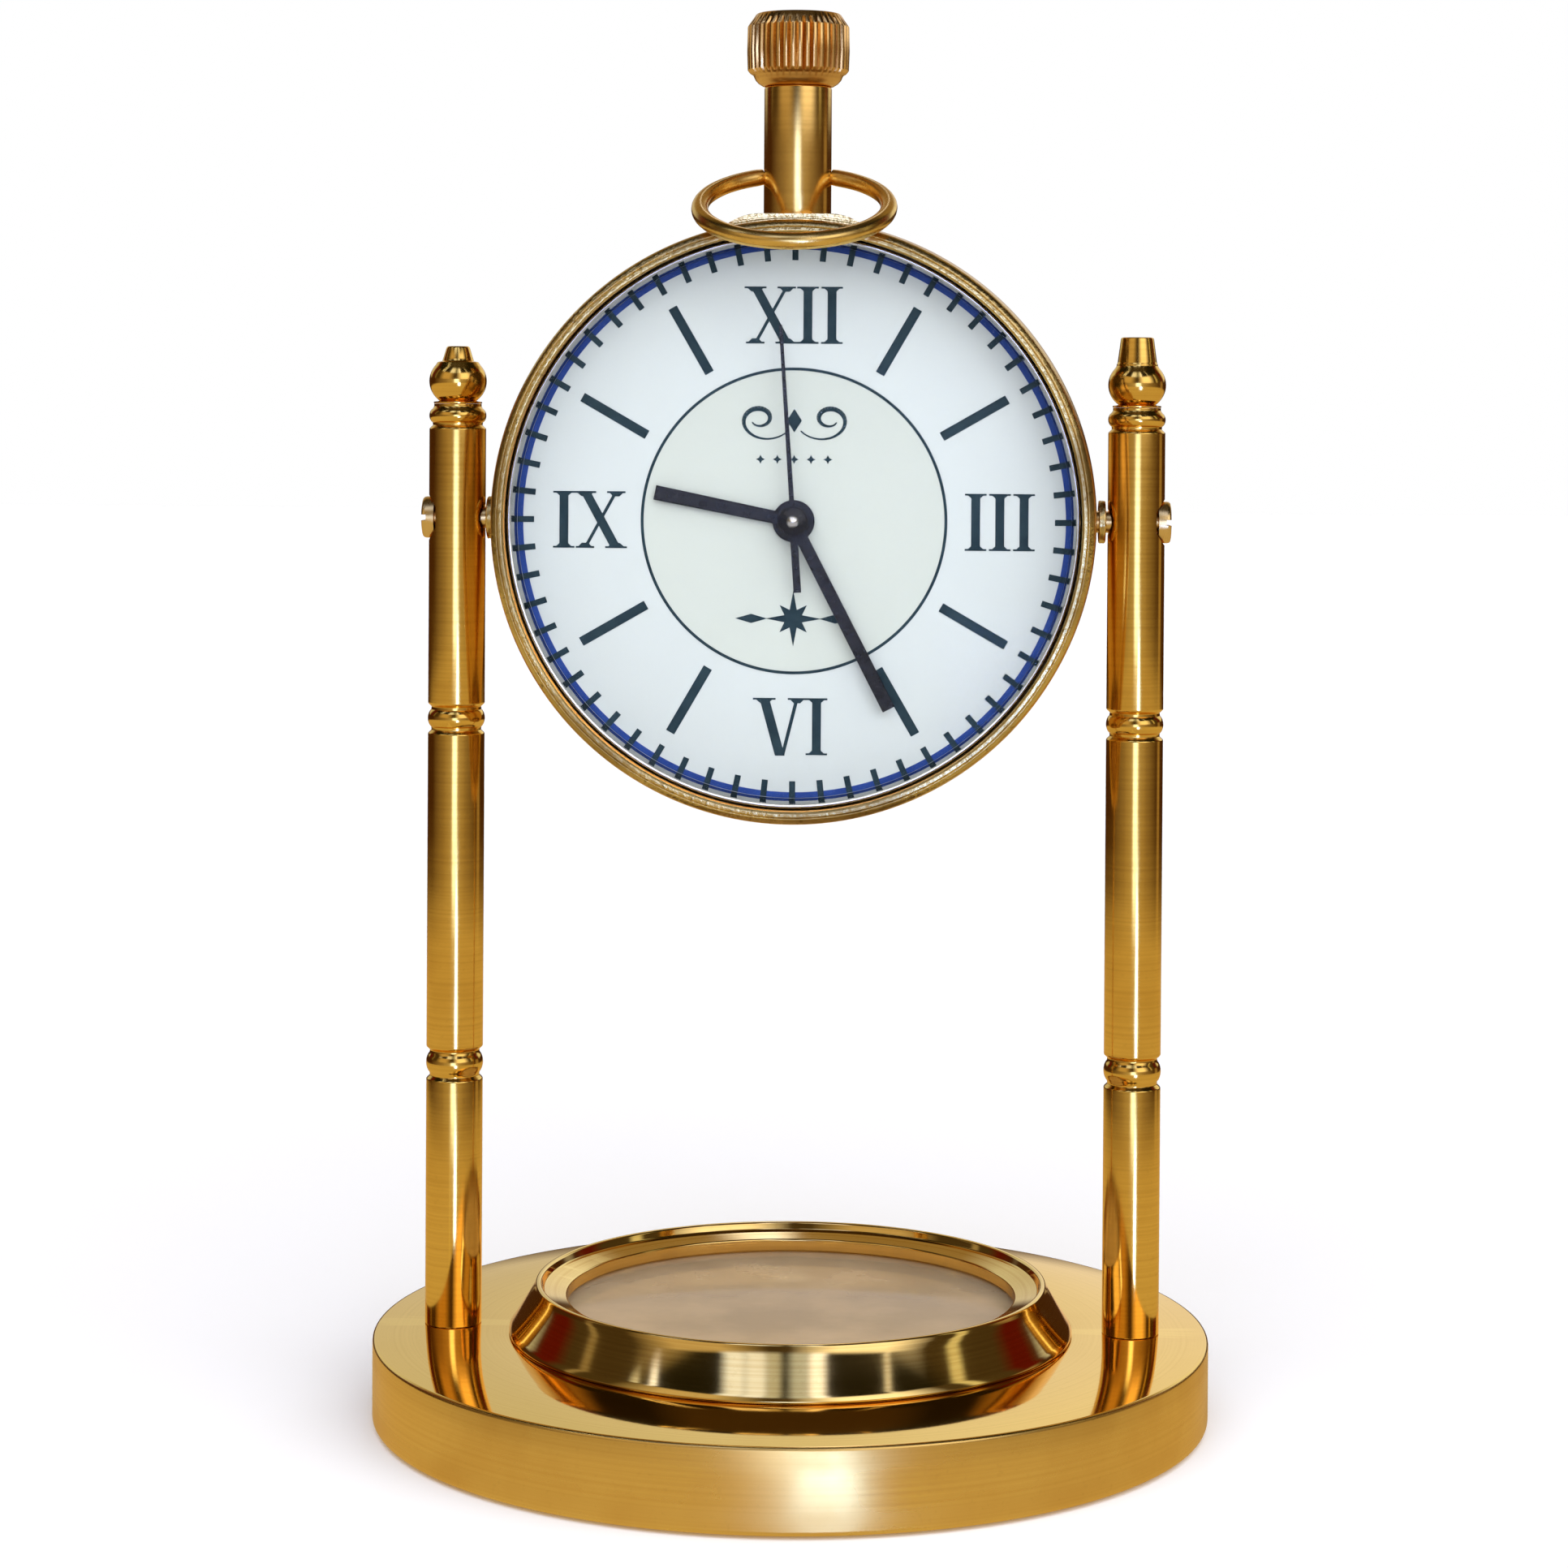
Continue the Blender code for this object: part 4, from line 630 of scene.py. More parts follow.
def build_post(side, name):
    """A turned post, bored for its screw, its finial and its trunnion."""
    r, foot, top = 3.4, high("base").z + 0.02, high(f"post_{name}").z
    seat = low(f"finial_{name}").z + 4.88
    lower, upper, collar = (bead_outline(*span, r) for span in BEADS)
    outline = [
        (0, top - 5.2), (1.2, top - 5.2), (1.2, seat), (2.85, seat, 0.05), (2.85, top - 0.05, 0.05),
        *collar[2:], *upper, *lower, (r, foot, 0.12), (SCREW_BORE, foot), (SCREW_BORE, 21), (0, 21),
    ]
    mesh = turned(outline, 3, 112, sharp=28)
    bore = rod(TRUNNION_BORE, -5, 5)
    sink = rod(2.8, 0, 3, 48)
    tools = [cut(bore, HEAD_AT, ACROSS), cut(sink, (side * 2.3, 0, AXIS), (0, side * math.pi / 2, 0))]
    at = (side * POST_X, 0, 0)
    piece(f"post_{name}_turning", carved(mesh, *tools), POST, "base", [f"post_{name}"], at)


def build_finial(side, name, button_height, foot_r, top_r):
    """A ball finial with its button and the stud that screws into the post."""
    bottom = low(f"finial_{name}").z + 4.9
    tip = high(f"finial_{name}").z
    shoulder = tip - button_height
    middle = (bottom + shoulder) / 2 + 0.15
    ball = arc((0, middle), 3.45, 3.1, 52, -50, 16)
    outline = [
        (0, tip), (top_r, tip, 0.25), (foot_r, shoulder + 0.3, 0.1), (foot_r + 0.12, shoulder, 0.1),
        (2.45, shoulder - 0.1, 0.1), *[p for p in ball if bottom + 0.25 < p[1] < shoulder - 0.25],
        (2.9, bottom + 0.2), (2.9, bottom, 0.1), (0.9, bottom), (0.9, bottom - 4.9), (0, bottom - 4.9),
    ]
    mesh = turned(outline, 3, 96, sharp=30)
    at = (side * POST_X, 0, 0)
    piece(f"finial_{name}_turning", mesh, POLISHED, "base", [f"finial_{name}"], at)


# ---- head


def build_case():
    """The drum of the head, with the filed saddle under the neck."""
    r = radius("case_body")
    back, front = depth("case_body")
    inner = 34.1
    outline = [
        (inner, front), (r - 0.8, front, 0.2), (r - 0.2, front - 2.2, 1.4), (r, front - 5.5, 1.8),
        (r, back + 5.5, 1.8), (r - 0.3, back + 2.0, 1.2), (r - 1.0, back, 0.3), (inner, back),
    ]
    drum = turned(outline, 4, FINE_SEGMENTS)
    pad = plate([saddle_outline()], -8.0, 8.0)
    tools = [
        ("UNION", pad, ORIGIN, ORIGIN),
        cut(rod(STEM_BORE, 30, 40), turn=(-math.pi / 2, 0, 0)),
        cut(rod(TRUNNION_BORE, -40, 40), turn=ACROSS),
    ]
    mesh = carved(drum, *tools)
    item = head_piece("case_drum", mesh, SATIN, ["case_body"])
    second_look(item, FILED, on_saddle)


SADDLE_TOP, SADDLE_FLAT, SADDLE_WIDE = 36.3, 4.3, 8.6


def saddle_outline():
    """The saddle from the front: flat under the neck, then falling away to the drum."""
    right = [(SADDLE_WIDE, 34.2)]
    for i in range(9):
        t = 1 - i / 8
        x = SADDLE_FLAT + (SADDLE_WIDE - SADDLE_FLAT) * t
        right.append((x, SADDLE_TOP - 1.7 * t * t))
    return [*right, *[(-x, y) for x, y in reversed(right)]]


def on_saddle(face):
    """Whether a face of the case is on its saddle."""
    centre = face.center / MM
    out = math.hypot(centre.x, centre.y)
    return centre.y > 34.0 and abs(centre.x) < SADDLE_WIDE and (out > 36.02 or abs(centre.z) > 7.95)


def build_bezel():
    """The front ring, with a rounded face, a fine groove and a lip by the glass. Its face is stippled."""
    back, front = depth("bezel")
    r, lip = radius("bezel"), 33.9
    seat = depth("crystal")[0] + 2.1
    bore = radius("crystal") + 0.3
    groove = 34.6
    outline = [
        (bore, back), (bore, seat), (lip, seat), (lip, front - 0.15, 0.12), (lip + 0.2, front, 0.12),
        (groove - 0.1, front - 0.04, 0.05), (groove, front - 0.2, 0.04),
        (groove + 0.1, front - 0.08, 0.06), (r - 0.35, front - 0.35, 0.4), (r - 0.05, front - 0.95, 0.4),
        (r, front - 1.8, 0.4), (r, back + 0.4, 0.2), (r - 0.2, back),
    ]
    mesh = turned(outline, 4, FINE_SEGMENTS, sharp=28)
    item = head_piece("bezel_ring", mesh, SATIN, ["bezel"])
    face_depth = (front - 0.9) * MM
    second_look(item, STIPPLED, lambda face: face.center.z > face_depth)


def dome(back, rise, r, steps):
    """Points along a shallow dome, from its centre to its edge."""
    return [(r * i / steps, back + rise * (1 - (i / steps) ** 2)) for i in range(steps + 1)]


def build_crystal():
    """The domed glass over the dial."""
    back, top = depth("crystal")
    r = radius("crystal")
    edge = back + 1.8
    rise = top - edge
    inner = dome(back, rise, r - 0.9, 16)
    outer = dome(edge, rise, r - 0.6, 16)
    outline = [*reversed(outer), *inner, (r, back), (r, edge)]
    mesh = turned(outline, sharp=40)
    head_piece("crystal_dome", mesh, CRYSTAL, ["crystal"])


WASH = (0.004, 0.024)  # where a printed area begins and ends, in front of the dial's face
PRINT = (0.028, 0.052)  # the same for the dark print over it
HOUR_BAR, MINUTE_MARK = (20.2, 29.1, 1.12), (30.9, 32.88, 0.72)  # the inner end, the outer end and the width
CENTRE_R = 18.0


def build_dial():
    """The dial's disc, its cream centre, and the polished ring that stands round it."""
    back, front = depth("dial")
    r = radius("dial")
    disc = [(2.2, back), (r, back, 0.1), (r, front, 0.1), (2.2, front)]
    head_piece("dial_disc", turned(disc), DIAL, ["dial"])
    layer = [front + rise for rise in WASH]
    head_piece("dial_centre", annulus(2.2, CENTRE_R, *layer), CREAM)
    head_piece("dial_edge", annulus(32.2, 32.9, *layer), BLUE)
    ring_back, ring_front = depth("dial_ring")
    ring = [(r, ring_back), (r, ring_front, 0.1), (33.3, ring_front, 0.15), (32.9, ring_back)]
    mesh = turned(ring)
    head_piece("dial_surround", mesh, MIRROR, ["dial_ring"])


NUMERAL_HEIGHT = 6.75
THICK, THIN, SERIF = 1.05, 0.42, 0.36
NUMERAL_REACH = 24.4


def slanted(start, end, width):
    """A stroke whose ends are level."""
    (x0, y0), (x1, y1) = start, end
    return [(x0 - width / 2, y0), (x0 + width / 2, y0), (x1 + width / 2, y1), (x1 - width / 2, y1)]


def serif(x, half, top):
    """A serif across a stroke's end, with a small bracket."""
    level = NUMERAL_HEIGHT if top else 0
    inward = -1 if top else 1
    foot = level + inward * SERIF * 0.6
    rise = level + inward * SERIF * 1.7
    slab = [(x - half, level), (x + half, level), (x + half, foot), (x - half, foot)]
    wide, narrow = half * 0.7, half * 0.35
    bracket = [(x - wide, foot), (x + wide, foot), (x + narrow, rise), (x - narrow, rise)]
    return [slab, bracket]


def letter_i(x):
    """An I centred at x."""
    return [slanted((x, 0), (x, NUMERAL_HEIGHT), THICK), *serif(x, 1.28, True), *serif(x, 1.28, False)]


def letter_v(x):
    """A V centred at x."""
    left, right = x - 1.95, x + 1.95
    heavy = slanted((left, NUMERAL_HEIGHT), (x - 0.05, -0.1), THICK * 1.1)
    light = slanted((right, NUMERAL_HEIGHT), (x + 0.25, -0.1), THIN)
    return [heavy, light, *serif(left, 1.35, True), *serif(right, 1.1, True)]


def letter_x(x):
    """An X centred at x."""
    reach = 1.85
    heavy = slanted((x - reach, NUMERAL_HEIGHT), (x + reach, 0), THICK * 1.15)
    light = slanted((x + reach, NUMERAL_HEIGHT), (x - reach, 0), THIN)
    feet = [serif(x - reach, 1.3, True), serif(x + reach, 1.1, True), serif(x - reach, 1.1, False)]
    feet.append(serif(x + reach, 1.3, False))
    return [heavy, light, *(shape for foot in feet for shape in foot)]


LETTERS = {"I": (letter_i, 2.86), "V": (letter_v, 5.7), "X": (letter_x, 5.9)}
NUMERALS = {0: "XII", 90: "III", 180: "VI", 270: "IX"}


def numeral(text, centre):
    """A Roman numeral, set upright about a centre."""
    width = sum(LETTERS[c][1] for c in text)
    x, shapes = -width / 2, []
    for c in text:
        build, step = LETTERS[c]
        shapes.extend(build(x + step / 2))
        x += step
    move = Vector(centre) - Vector((0, NUMERAL_HEIGHT / 2))
    return [[tuple(Vector(p) + move) for p in shape] for shape in shapes]


def scroll(side):
    """Half of a plain scroll ornament: a stroke that rises and curls in on itself."""
    points, widths = [], []
    for i in range(41):
        t = i / 40
        angle = math.radians(-150 + 480 * t)
        reach = 2.6 * (1 - t) + 0.45
        x = 4.6 + reach * math.cos(angle) - 1.2 * (1 - t)
        y = 11.9 + 0.8 * reach * math.sin(angle)
        points.append((side * x, y))
        widths.append(0.18 + 0.42 * math.sin(math.pi * t) ** 2)
    return [stroke(*parts) for parts in zip(points, points[1:], widths, widths[1:])]


def emblem():
    """A plain eight-pointed star between two leaves."""
    at = (0, -11.6)
    shapes = [star(at, 4, 3.3, 0.75), star(at, 4, 2.3, 0.85, math.pi / 4)]
    for side in (-1, 1):
        x = side * 5.0
        shapes.append([(x - 1.9, at[1]), (x, at[1] + 0.55), (x + 1.9, at[1]), (x, at[1] - 0.55)])
    return shapes


def build_print():
    """All that is printed in dark ink: numerals, bars, ornaments, minute marks and the centre's outline."""
    layer = [depth("dial")[1] + rise for rise in PRINT]
    shapes = []
    for angle, text in NUMERALS.items():
        way = math.radians(angle)
        shapes.extend(numeral(text, (NUMERAL_REACH * math.sin(way), NUMERAL_REACH * math.cos(way))))
    shapes.extend(bar(i * 30, *HOUR_BAR) for i in range(12) if i % 3)
    shapes.extend(scroll(-1) + scroll(1))
    shapes.append([(-0.9, 11.9), (0, 13.3), (0.9, 11.9), (0, 10.5)])
    shapes.extend(star((x, 7.3), 4, 0.55, 0.25) for x in (-4.0, -2.0, 0.0, 2.0, 4.0))
    shapes.extend(emblem())
    head_piece("dial_print", plate(shapes, *layer), INK)
    marks = [bar(i * 6, *MINUTE_MARK) for i in range(60)]
    head_piece("minute_marks", plate(marks, *layer), INK)
    outline = annulus(CENTRE_R - 0.15, CENTRE_R + 0.2, *layer)
    head_piece("centre_outline", outline, INK)


# ---- hands


def far_point(name, centre, axes):
    """How far a CAD node reaches from a centre, and in which direction, clockwise from the second axis."""
    across, up = axes
    places = [v.co / MM - centre for v in frame["nodes"][name].data.vertices]
    flat = [(place.dot(across), place.dot(up)) for place in places]
    reach = max(math.hypot(*p) for p in flat)
    ends = [p for p in flat if math.hypot(*p) > reach - 0.02]
    tip = Vector((sum(p[0] for p in ends), sum(p[1] for p in ends))) / len(ends)
    return tip.length, math.atan2(tip.x, tip.y)


def hand_shapes(length, hub, root, tip, tail):
    """A hand that points up: its hub, its blade and any tail, as outlines that overlap."""
    shapes = [circle(hub, 48), [(-root / 2, 0), (root / 2, 0), (tip / 2, length), (-tip / 2, length)]]
    if tail:
        drop, width = tail
        shapes.append([(-width / 2, 0), (width / 2, 0), (width / 2, -drop), (-width / 2, -drop)])
    return shapes


def build_hand(node_name, body, hub, root, tip, bore, bevel, tail=None):
    """A hand over its CAD node, at the same length and angle."""
    length, angle = far_point(node_name, Vector(HEAD_AT), (RIGHT, UP))
    back, front = depth(node_name)
    blank = plate(hand_shapes(length, hub, root, tip, tail), back, front, bevel)
    mesh = carved(blank, cut(rod(bore, back - 1, front + 1)))
    turn = (Matrix.Rotation(math.pi / 2, 3, "X") @ Matrix.Rotation(-angle, 3, "Z")).to_euler()
    piece(f"{node_name}_blade", mesh, BLACK, body, [node_name], HEAD_AT, turn)


def build_hands():
    """The three hands, and the cap with a ball on it."""
    build_hand("hour_hand", "hours", hub=2.5, root=1.5, tip=1.75, bore=1.5, bevel=0.14)
    build_hand("minute_hand", "minutes", hub=2.0, root=1.45, tip=1.55, bore=0.95, bevel=0.14)
    build_hand("seconds_hand", "seconds", hub=1.3, root=0.6, tip=0.4, bore=0.4, bevel=0.08, tail=(8.4, 0.9))
    back, front = depth("hand_cap")
    r = radius("hand_cap")
    skirt = arc((0, back + 0.15), r, 0.55, 0, 62, 6)
    ball = arc((0, front - 0.5), 0.75, 0.5, -10, 84, 7)
    outline = [(0, back), (r, back, 0.06), *skirt, *ball, (0, front)]
    mesh = turned(outline, 2, 64, sharp=40)
    item = head_piece("hand_hub", mesh, BLACK, ["hand_cap"], "seconds")
    ball_foot, ball_r = (front - 0.9) * MM, 0.72 * MM
    second_look(item, MIRROR, lambda face: face.center.z > ball_foot and face.center.xy.length < ball_r)


# ---- back, trunnions, neck, bow and crown


def build_back_cover():
    """The snap-on back: a rim, a shallow cove and a slightly domed field."""
    back, front = depth("back_cover")
    r = radius("back_cover")
    seat = front - 1.2
    field = dome(seat - 1.2, -0.7, 30.0, 12)
    outline = [
        (0, front), (33.7, front), (33.7, seat), (r, seat, 0.1), (r - 0.25, seat - 0.8, 0.4),
        (r - 1.6, seat - 1.1, 0.3), (31.2, seat - 1.15, 0.2), (30.6, seat - 0.95, 0.2),
        (30.0, seat - 1.2, 0.2),
        *reversed(field[1:-1]), (0, back),
    ]
    mesh = turned(outline, 3, 200)
    head_piece("back_lid", mesh, SATIN, ["back_cover"])


def repeatable(count):
    """Numbers from 0 to 1 in no clear order, the same every time."""
    state = 0
    for _ in range(count):
        state = (state * 1103515245 + 12345) % 2**31
        yield state / 2**31


def roughen(mesh, core, amount):
    """Draw in a turned mesh unevenly where it's outside its core, as if it were left as cast."""
    for vertex, draw in zip(mesh.vertices, repeatable(len(mesh.vertices))):
        if math.hypot(vertex.co.x, vertex.co.y) > core * MM:
            shrink = 1 - amount * draw
            vertex.co.x *= shrink
            vertex.co.y *= shrink


def build_trunnion(side, name):
    """The slotted trunnion screw and the rough boss between the case and the post."""
    outer = high("trunnion_screw_right").x
    inner = low("trunnion_screw_right").x
    seat = POST_X + 2.6
    outline = [
        (0, outer), (2.5, outer, 0.45), (2.5, seat), (1.3, seat), (1.3, inner, 0.15), (0, inner),
    ]
    turn = (0, side * math.pi / 2, 0)
    slot_shape = plate([[(-0.35, -4), (0.35, -4), (0.35, 4), (-0.35, 4)]], outer - 0.6, outer + 1)
    mesh = turned(outline, 3, 64)
    mesh = carved(mesh, cut(slot_shape))
    node_name = f"trunnion_screw_{name}"
    piece(f"trunnion_{name}_screw", mesh, SATIN, "head", [node_name], HEAD_AT, turn)
    start, end = low("trunnion_boss_right").x, high("trunnion_boss_right").x
    ring = [(TRUNNION_BORE, start), (2.6, start, 0.12), (2.6, end, 0.2), (TRUNNION_BORE, end)]
    mesh = turned(ring, 3, 48)
    roughen(mesh, 2.2, 0.05)
    node_name = f"trunnion_boss_{name}"
    piece(f"trunnion_{name}_boss", mesh, STIPPLED, "head", [node_name], HEAD_AT, turn)


BOW_PIVOT = 41.1  # above the trunnion axis
BOW_WIRE = 1.0  # the wire's radius
BOW_STUB = 0.6  # the radius of its ends in the neck


def build_neck():
    """The neck's tube, drilled across for the bow, with a soldered foot."""
    r, foot, top = radius("neck"), SADDLE_TOP + 0.02, low("crown").z - 0.05 - AXIS
    outline = [(STEM_BORE, foot), (r, foot, 0.1), (r, top, 0.25), (STEM_BORE, top)]
    mesh = turned(outline, 3, 112)
    mesh = carved(mesh, cut(rod(0.9, -6, 6), (0, 0, BOW_PIVOT), ACROSS))
    piece("neck_tube", mesh, NECK, "head", ["neck"], HEAD_AT)


def bow_route(steps):
    """The bow's centre line in its own plane as (x, reach, wire radius), with its pivot along x."""
    gap = radius("neck") + 0.15
    half_width = radius("bow") - BOW_WIRE
    entry = math.asin(gap / half_width)
    half_length = bow_reach() / (1 + math.cos(entry))
    centre = half_length * math.cos(entry)
    sweep = math.tau - 2 * entry
    start = [(2.4, 0, BOW_STUB), (gap - 0.2, 0, BOW_STUB)]
    start += [(gap - 0.1, 0, 0.8 * BOW_WIRE), (gap, 0, 0.95 * BOW_WIRE)]
    loop = []
    for i in range(1, steps):
        angle = entry + sweep * i / steps
        loop.append((half_width * math.sin(angle), centre - half_length * math.cos(angle), BOW_WIRE))
    return start, loop


def bow_reach():
    """How far the bow's centre line reaches from its pivot."""
    forward = high("bow").y - low("bow").y - 2 * BOW_WIRE
    down = high("bow").z - low("bow").z - 2 * BOW_WIRE
    return math.hypot(forward, down)


def tube(route, sides):
    """A closed tube of varying radius along a route of (point, radius)."""
    bm = bmesh.new()
    rings = []
    for i, (point, r) in enumerate(route):
        before = route[max(i - 1, 0)][0]
        after = route[min(i + 1, len(route) - 1)][0]
        along = (after - before).normalized()
        out = along.cross(UP).normalized()
        up = out.cross(along)
        angles = [math.tau * k / sides for k in range(sides)]
        rings.append([bm.verts.new(point + out * r * math.cos(a) + up * r * math.sin(a)) for a in angles])
    for a, b in zip(rings, rings[1:]):
        for k in range(sides):
            bm.faces.new((a[k - 1], a[k], b[k], b[k - 1]))
    bm.faces.new(rings[0])
    bm.faces.new(rings[-1])
    return finish_mesh(bm, 40)


def build_bow():
    """The wire bow, hung in the neck and lying forward on the case."""
    start, loop = bow_route(96)
    end = [(-x, reach, r) for x, reach, r in reversed(start)]
    route = [(Vector((x, -reach, 0)), r) for x, reach, r in (*start, *loop, *end)]
    mesh = tube(route, 20)
    forward = high("bow").y - low("bow").y - 2 * BOW_WIRE
    drop = math.asin(forward / bow_reach())
    at = (0, 0, AXIS + BOW_PIVOT)
    piece("bow_wire", mesh, BOW_GOLD, "bow", ["bow"], at, (math.pi / 2 - drop, 0, 0))


FLUTES = 42
FLUTE_STEPS = 8


def crown_level(r, height, flute):
    """One loop of the crown, with flat-topped flutes of a given depth."""
    points = []
    count = FLUTES * FLUTE_STEPS
    for i in range(count):
        phase = (i % FLUTE_STEPS) / FLUTE_STEPS
        valley = max(0.0, 1 - abs(phase - 0.5) * 3.6)
        uneven = 1 + 0.35 * math.sin(2.7 * (i // FLUTE_STEPS)) * math.cos(1.3 * (i // FLUTE_STEPS))
        reach = r - flute * valley * uneven
        angle = math.tau * i / count
        points.append((reach * math.cos(angle), reach * math.sin(angle), height))
    return points


def build_crown():
    """The knurled crown: a cut top with a chamfer, a fluted grip and a smooth rounded foot."""
    bottom, tip = low("crown").z, high("crown").z
    r, height = radius("crown") - 0.05, tip - bottom
    flute, bore_depth = 0.42, 5.0
    levels = [
        (1.0, 0, 0), (4.05, 0, 0), (4.3, 0.08, 0), (4.8, 0.4, 0), (5.15, 0.8, 0), (5.4, 1.35, 0),
        (r - 0.3, 1.6, 0.4 * flute), (r - 0.03, 1.95, flute), (r + 0.05, 4.2, flute),
        (r, height - 1.6, flute), (r - 0.1, height - 1.4, 0.8 * flute),
        (5.5, height - 0.7, 0.12 * flute), (5.12, height - 0.12, 0), (4.95, height, 0),
    ]
    bm = bmesh.new()
    loops = [[bm.verts.new(p) for p in crown_level(*level)] for level in levels]
    for lower, upper in zip(loops, loops[1:]):
        for i in range(len(lower)):
            bm.faces.new((lower[i - 1], lower[i], upper[i], upper[i - 1]))
    bm.faces.new(loops[-1])
    mouth = loops[0]
    inside = [bm.verts.new((v.co.x, v.co.y, bore_depth)) for v in mouth]
    for i in range(len(mouth)):
        bm.faces.new((mouth[i - 1], inside[i - 1], inside[i], mouth[i]))
    bm.faces.new(inside)
    mesh = finish_mesh(bm, 30)
    piece("crown_knob", mesh, CROWN, "crown", ["crown"], (0, 0, bottom))


# ---- the CAD nodes that no piece stands for

SLOT_LOOKS = {
    "steel": STEEL, "black_plastic": BLACK_PLASTIC, "white_plastic": WHITE_PLASTIC,
    "black_rubber": RUBBER, "copper_wire": COPPER, "circuit_green": BOARD,
    "polished_brass": POLISHED, "satin_brass": SATIN, "glass": CRYSTAL, "dial_white": DIAL,
    "black_enamel": BLACK, "green_felt": FELT, "card": CARD,
}


def dress_cad_nodes():
    """Give every CAD node a detailed material, for those that still show."""
    slots = {part["node"]: part["material_slot"] for part in frame["record"]["subparts"]}
    for name, item in frame["nodes"].items():
        look = SLOT_LOOKS[slots[name]]
        for material_slot in item.material_slots:
            material_slot.material = look
        if not item.material_slots:
            item.data.materials.append(look)


# ---- camera, floor and light

CAMERA_AT = (0.016255, -0.425488, 0.119884)
CAMERA_YAW, CAMERA_PITCH, CAMERA_ROLL = math.radians(2.205), math.radians(0.722), math.radians(0.362)
LENS = 81.4
SHIFT = (-0.0069, -0.2069)


def build_camera():
    """The camera at the height and angle that the clock is seen from."""
    data = bpy.data.cameras.new("camera")
    data.sensor_width = 36
    data.lens = LENS
    data.shift_x, data.shift_y = SHIFT
    data.clip_start = 0.01
    camera = added("camera", data)
    flat = math.cos(CAMERA_PITCH)
    ahead = Vector((-math.sin(CAMERA_YAW) * flat, math.cos(CAMERA_YAW) * flat, -math.sin(CAMERA_PITCH)))
    right = ahead.cross(UP).normalized()
    up = right.cross(ahead)
    turn = Matrix((right, up, -ahead)).transposed() @ Matrix.Rotation(CAMERA_ROLL, 3, "Z")
    camera.matrix_world = Matrix.Translation(CAMERA_AT) @ turn.to_4x4()
    bpy.context.scene.camera = camera


def build_floor():
    """A plain pale floor. It isn't seen in reflections, where the room's lower bands take its place."""
    bm = bmesh.new()
    bmesh.ops.create_grid(bm, x_segments=8, y_segments=8, size=4.0)
    mesh = bpy.data.meshes.new("floor")
    bm.to_mesh(mesh)
    bm.free()
    floor = added("floor", mesh)
    look, _, shader = new_look("floor_look")
    shader.inputs["Base Color"].default_value = (0.97, 0.96, 0.945, 1)
    shader.inputs["Roughness"].default_value = 0.9
    shader.inputs["Specular IOR Level"].default_value = 0.0
    mesh.materials.append(look)
    floor.visible_glossy = False


# The room that the brass reflects, in bands of height. A soft light is (degrees to the right of the dial's
# side, half width, colour), and the gloom is the band's colour between its lights.
STREAK = (1.6, 1.9, 3.4)
SCREEN = (1.1, 1.35, 2.4)
DEEP_RED = (0.11, 0.008, 0.002)
FLOOR_GLOW = (0.62, 0.53, 0.30, 1)
FLOOR_LIGHTS = ((12, 5.2, (4.8, 9.2, 30.0)),)
WALL_GLOOM = (0.060, 0.026, 0.009, 1)
WALL_LIGHTS = (
    (0, 100, (0.35, 0.29, 0.19)), (1, 42, (0.50, 0.46, 0.35)), (2, 13, (2.2, 3.0, 6.2)),
    (111, 12, (0.36, 0.28, 0.16)),
)
UPPER_GLOOM = (0.07, 0.05, 0.022, 1)
UPPER_LIGHTS = (
    (-42, 34, (0.62, 0.52, 0.34)), (36, 34, (1.5, 1.55, 1.8)), (84, 4.5, (0.80, 0.80, 0.60)),
    (-98, 3, (0.35, 0.30, 0.20)), (117, 12, DEEP_RED), (-119, 12, DEEP_RED),
)
CEILING_GLOOM = (0.016, 0.014, 0.006, 1)
CEILING_LIGHTS = (
    (-74, 3, (1.5, 1.7, 2.1)), (-65, 2.5, STREAK), (-26, 8, SCREEN), (-15, 9, SCREEN),
    (-6, 5, (0.6, 0.7, 0.95)), (7, 7, (0.6, 0.75, 1.2)), (16, 6, STREAK),
    (51, 2.2, (1.0, 1.1, 1.5)),
)
ZENITH = (0.06, 0.05, 0.03, 1)
# From the floor up: the heights where a band begins and where it has taken over, its gloom and its lights.
# The height of a direction runs from -1 straight down to 1 straight up.
BANDS = (
    (-0.42, -0.36, FLOOR_GLOW, FLOOR_LIGHTS),
    (-0.17, -0.12, WALL_GLOOM, WALL_LIGHTS),
    (0.13, 0.20, UPPER_GLOOM, UPPER_LIGHTS),
    (0.60, 0.66, CEILING_GLOOM, CEILING_LIGHTS),
    (0.86, 0.93, ZENITH, ()),
)
# The wall behind the clock glows, and is dim above but for a thin strip. Each pair is where a change begins
# and ends, in degrees from the dial's side or in height. The seam's pair is how far a direction leans right.
BACK_GLOOM = (0.32, 0.24, 0.12, 1)
BACK_GLOW_LEFT = (0.66, 0.76, 0.92, 1)
BACK_GLOW_RIGHT = (0.92, 1.05, 1.35, 1)
BACK_SIDES, BACK_STRIP, BACK_SEAM = (126, 134), (177, 179), (-0.12, 0.06)
BACK_FOOT, BACK_DIM, BACK_TOP = (0.10, 0.16), (0.42, 0.54), (0.76, 0.86)


def lit_band(tree, azimuth, gloom, lights):
    """A band of the room with its soft lights."""
    total = gloom
    for middle, half, colour in lights:
        away = calc(tree, "ABSOLUTE", calc(tree, "SUBTRACT", azimuth, middle))
        strength = remap(tree, away, half * 0.35, half, 1.0, 0.0)
        total = mixed(tree, strength, total, (*colour, 1))
    return total


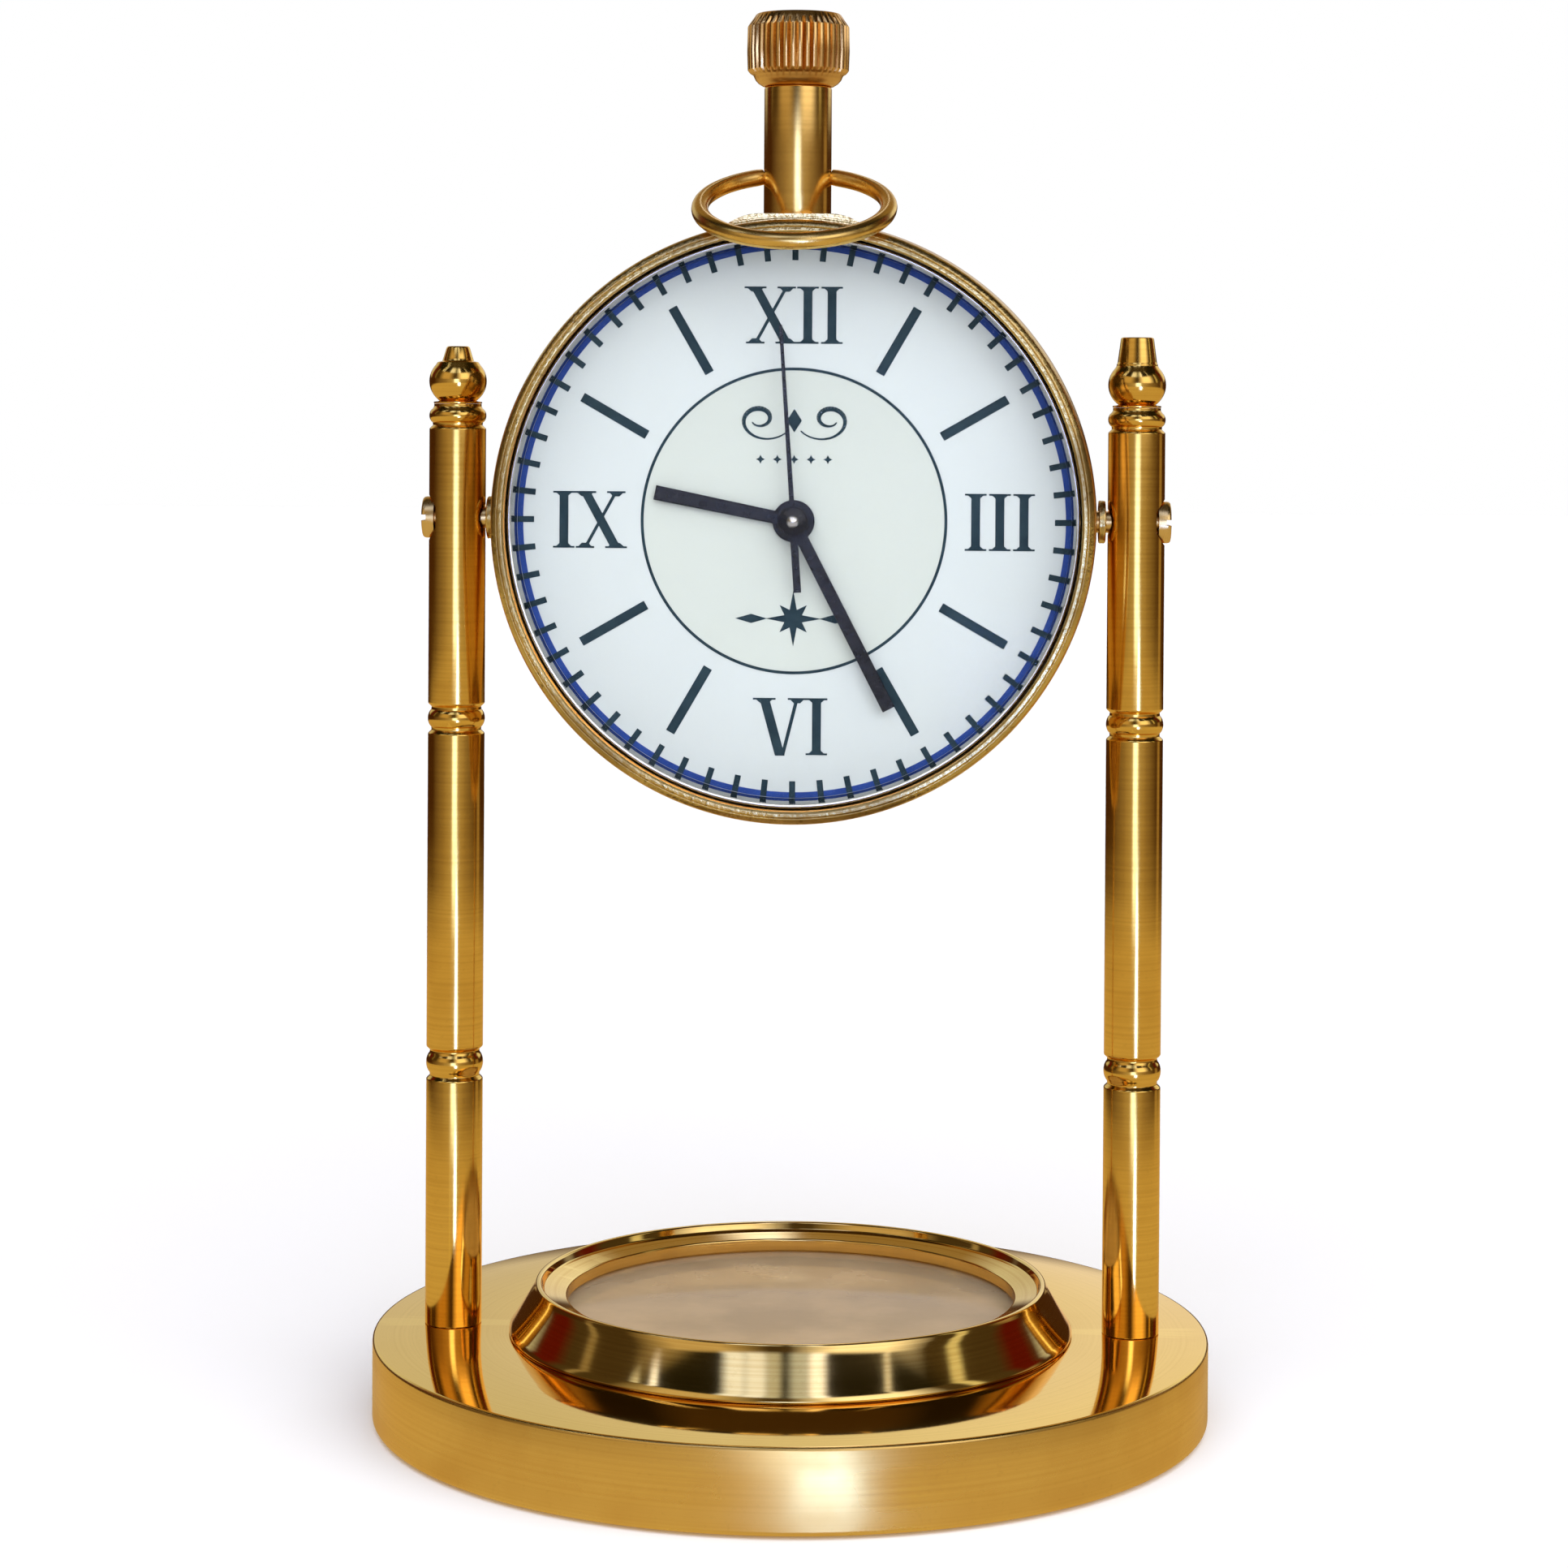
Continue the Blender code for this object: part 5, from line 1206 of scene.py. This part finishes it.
def build_world():
    """A studio with soft lights on dim walls. The camera sees it as plain white."""
    world = bpy.data.worlds.new("studio")
    bpy.context.scene.world = world
    world.use_nodes = True
    tree = world.node_tree
    tree.nodes.clear()
    split = node(tree, "ShaderNodeSeparateXYZ", {0: node(tree, "ShaderNodeTexCoord").outputs["Generated"]})
    x, y, z = split.outputs
    azimuth = calc(tree, "DEGREES", calc(tree, "ARCTAN2", x, calc(tree, "MULTIPLY", y, -1.0)))
    room = FLOOR_GLOW
    for start, end, gloom, lights in BANDS:
        band = lit_band(tree, azimuth, gloom, lights)
        room = mixed(tree, remap(tree, z, start, end), room, band)
    turned_away = calc(tree, "ABSOLUTE", azimuth)
    glow = mixed(tree, remap(tree, x, *BACK_SEAM), BACK_GLOW_LEFT, BACK_GLOW_RIGHT)
    high_wall = mixed(tree, remap(tree, turned_away, *BACK_STRIP), BACK_GLOOM, (*STREAK, 1))
    glow = mixed(tree, remap(tree, z, *BACK_DIM), glow, high_wall)
    behind = remap(tree, turned_away, *BACK_SIDES)
    behind = calc(tree, "MULTIPLY", behind, remap(tree, z, *BACK_FOOT))
    behind = calc(tree, "MULTIPLY", behind, remap(tree, z, *BACK_TOP, 1.0, 0.0))
    room = mixed(tree, behind, room, glow)
    seen = node(tree, "ShaderNodeLightPath").outputs["Is Camera Ray"]
    light = mixed(tree, seen, room, (1.0, 1.0, 1.0, 1))
    background = node(tree, "ShaderNodeBackground", {"Color": light, "Strength": 1.0})
    node(tree, "ShaderNodeOutputWorld", {"Surface": background.outputs[0]})


def build_light(name, energy, spread, azimuth, height):
    """A very wide soft light from in front, which the brass doesn't show. The angles are in degrees."""
    data = bpy.data.lights.new(name, "SUN")
    data.energy = energy
    data.angle = math.radians(spread)
    light = added(name, data)
    azimuth, height = math.radians(azimuth), math.radians(height)
    flat = math.cos(height)
    towards = Vector((math.sin(azimuth) * flat, -math.cos(azimuth) * flat, math.sin(height)))
    light.rotation_euler = towards.to_track_quat("Z", "Y").to_euler()
    light.visible_glossy = False


# ---- the clock

build_camera()
build_base()
build_felt()
build_compass_ring()
build_compass_glass()
build_compass_card()
build_needle()
build_post(-1, "left")
build_post(1, "right")
build_finial(-1, "left", button_height=1.8, foot_r=1.8, top_r=1.35)
build_finial(1, "right", button_height=3.3, foot_r=2.35, top_r=1.95)
build_case()
build_bezel()
build_crystal()
build_dial()
build_print()
build_hands()
build_back_cover()
build_trunnion(-1, "left")
build_trunnion(1, "right")
build_neck()
build_bow()
build_crown()
dress_cad_nodes()
build_floor()
build_world()
build_light("key", energy=3.0, spread=100, azimuth=20, height=50)
build_light("fill", energy=1.0, spread=60, azimuth=5, height=10)
bpy.context.scene.view_settings.view_transform = "Standard"
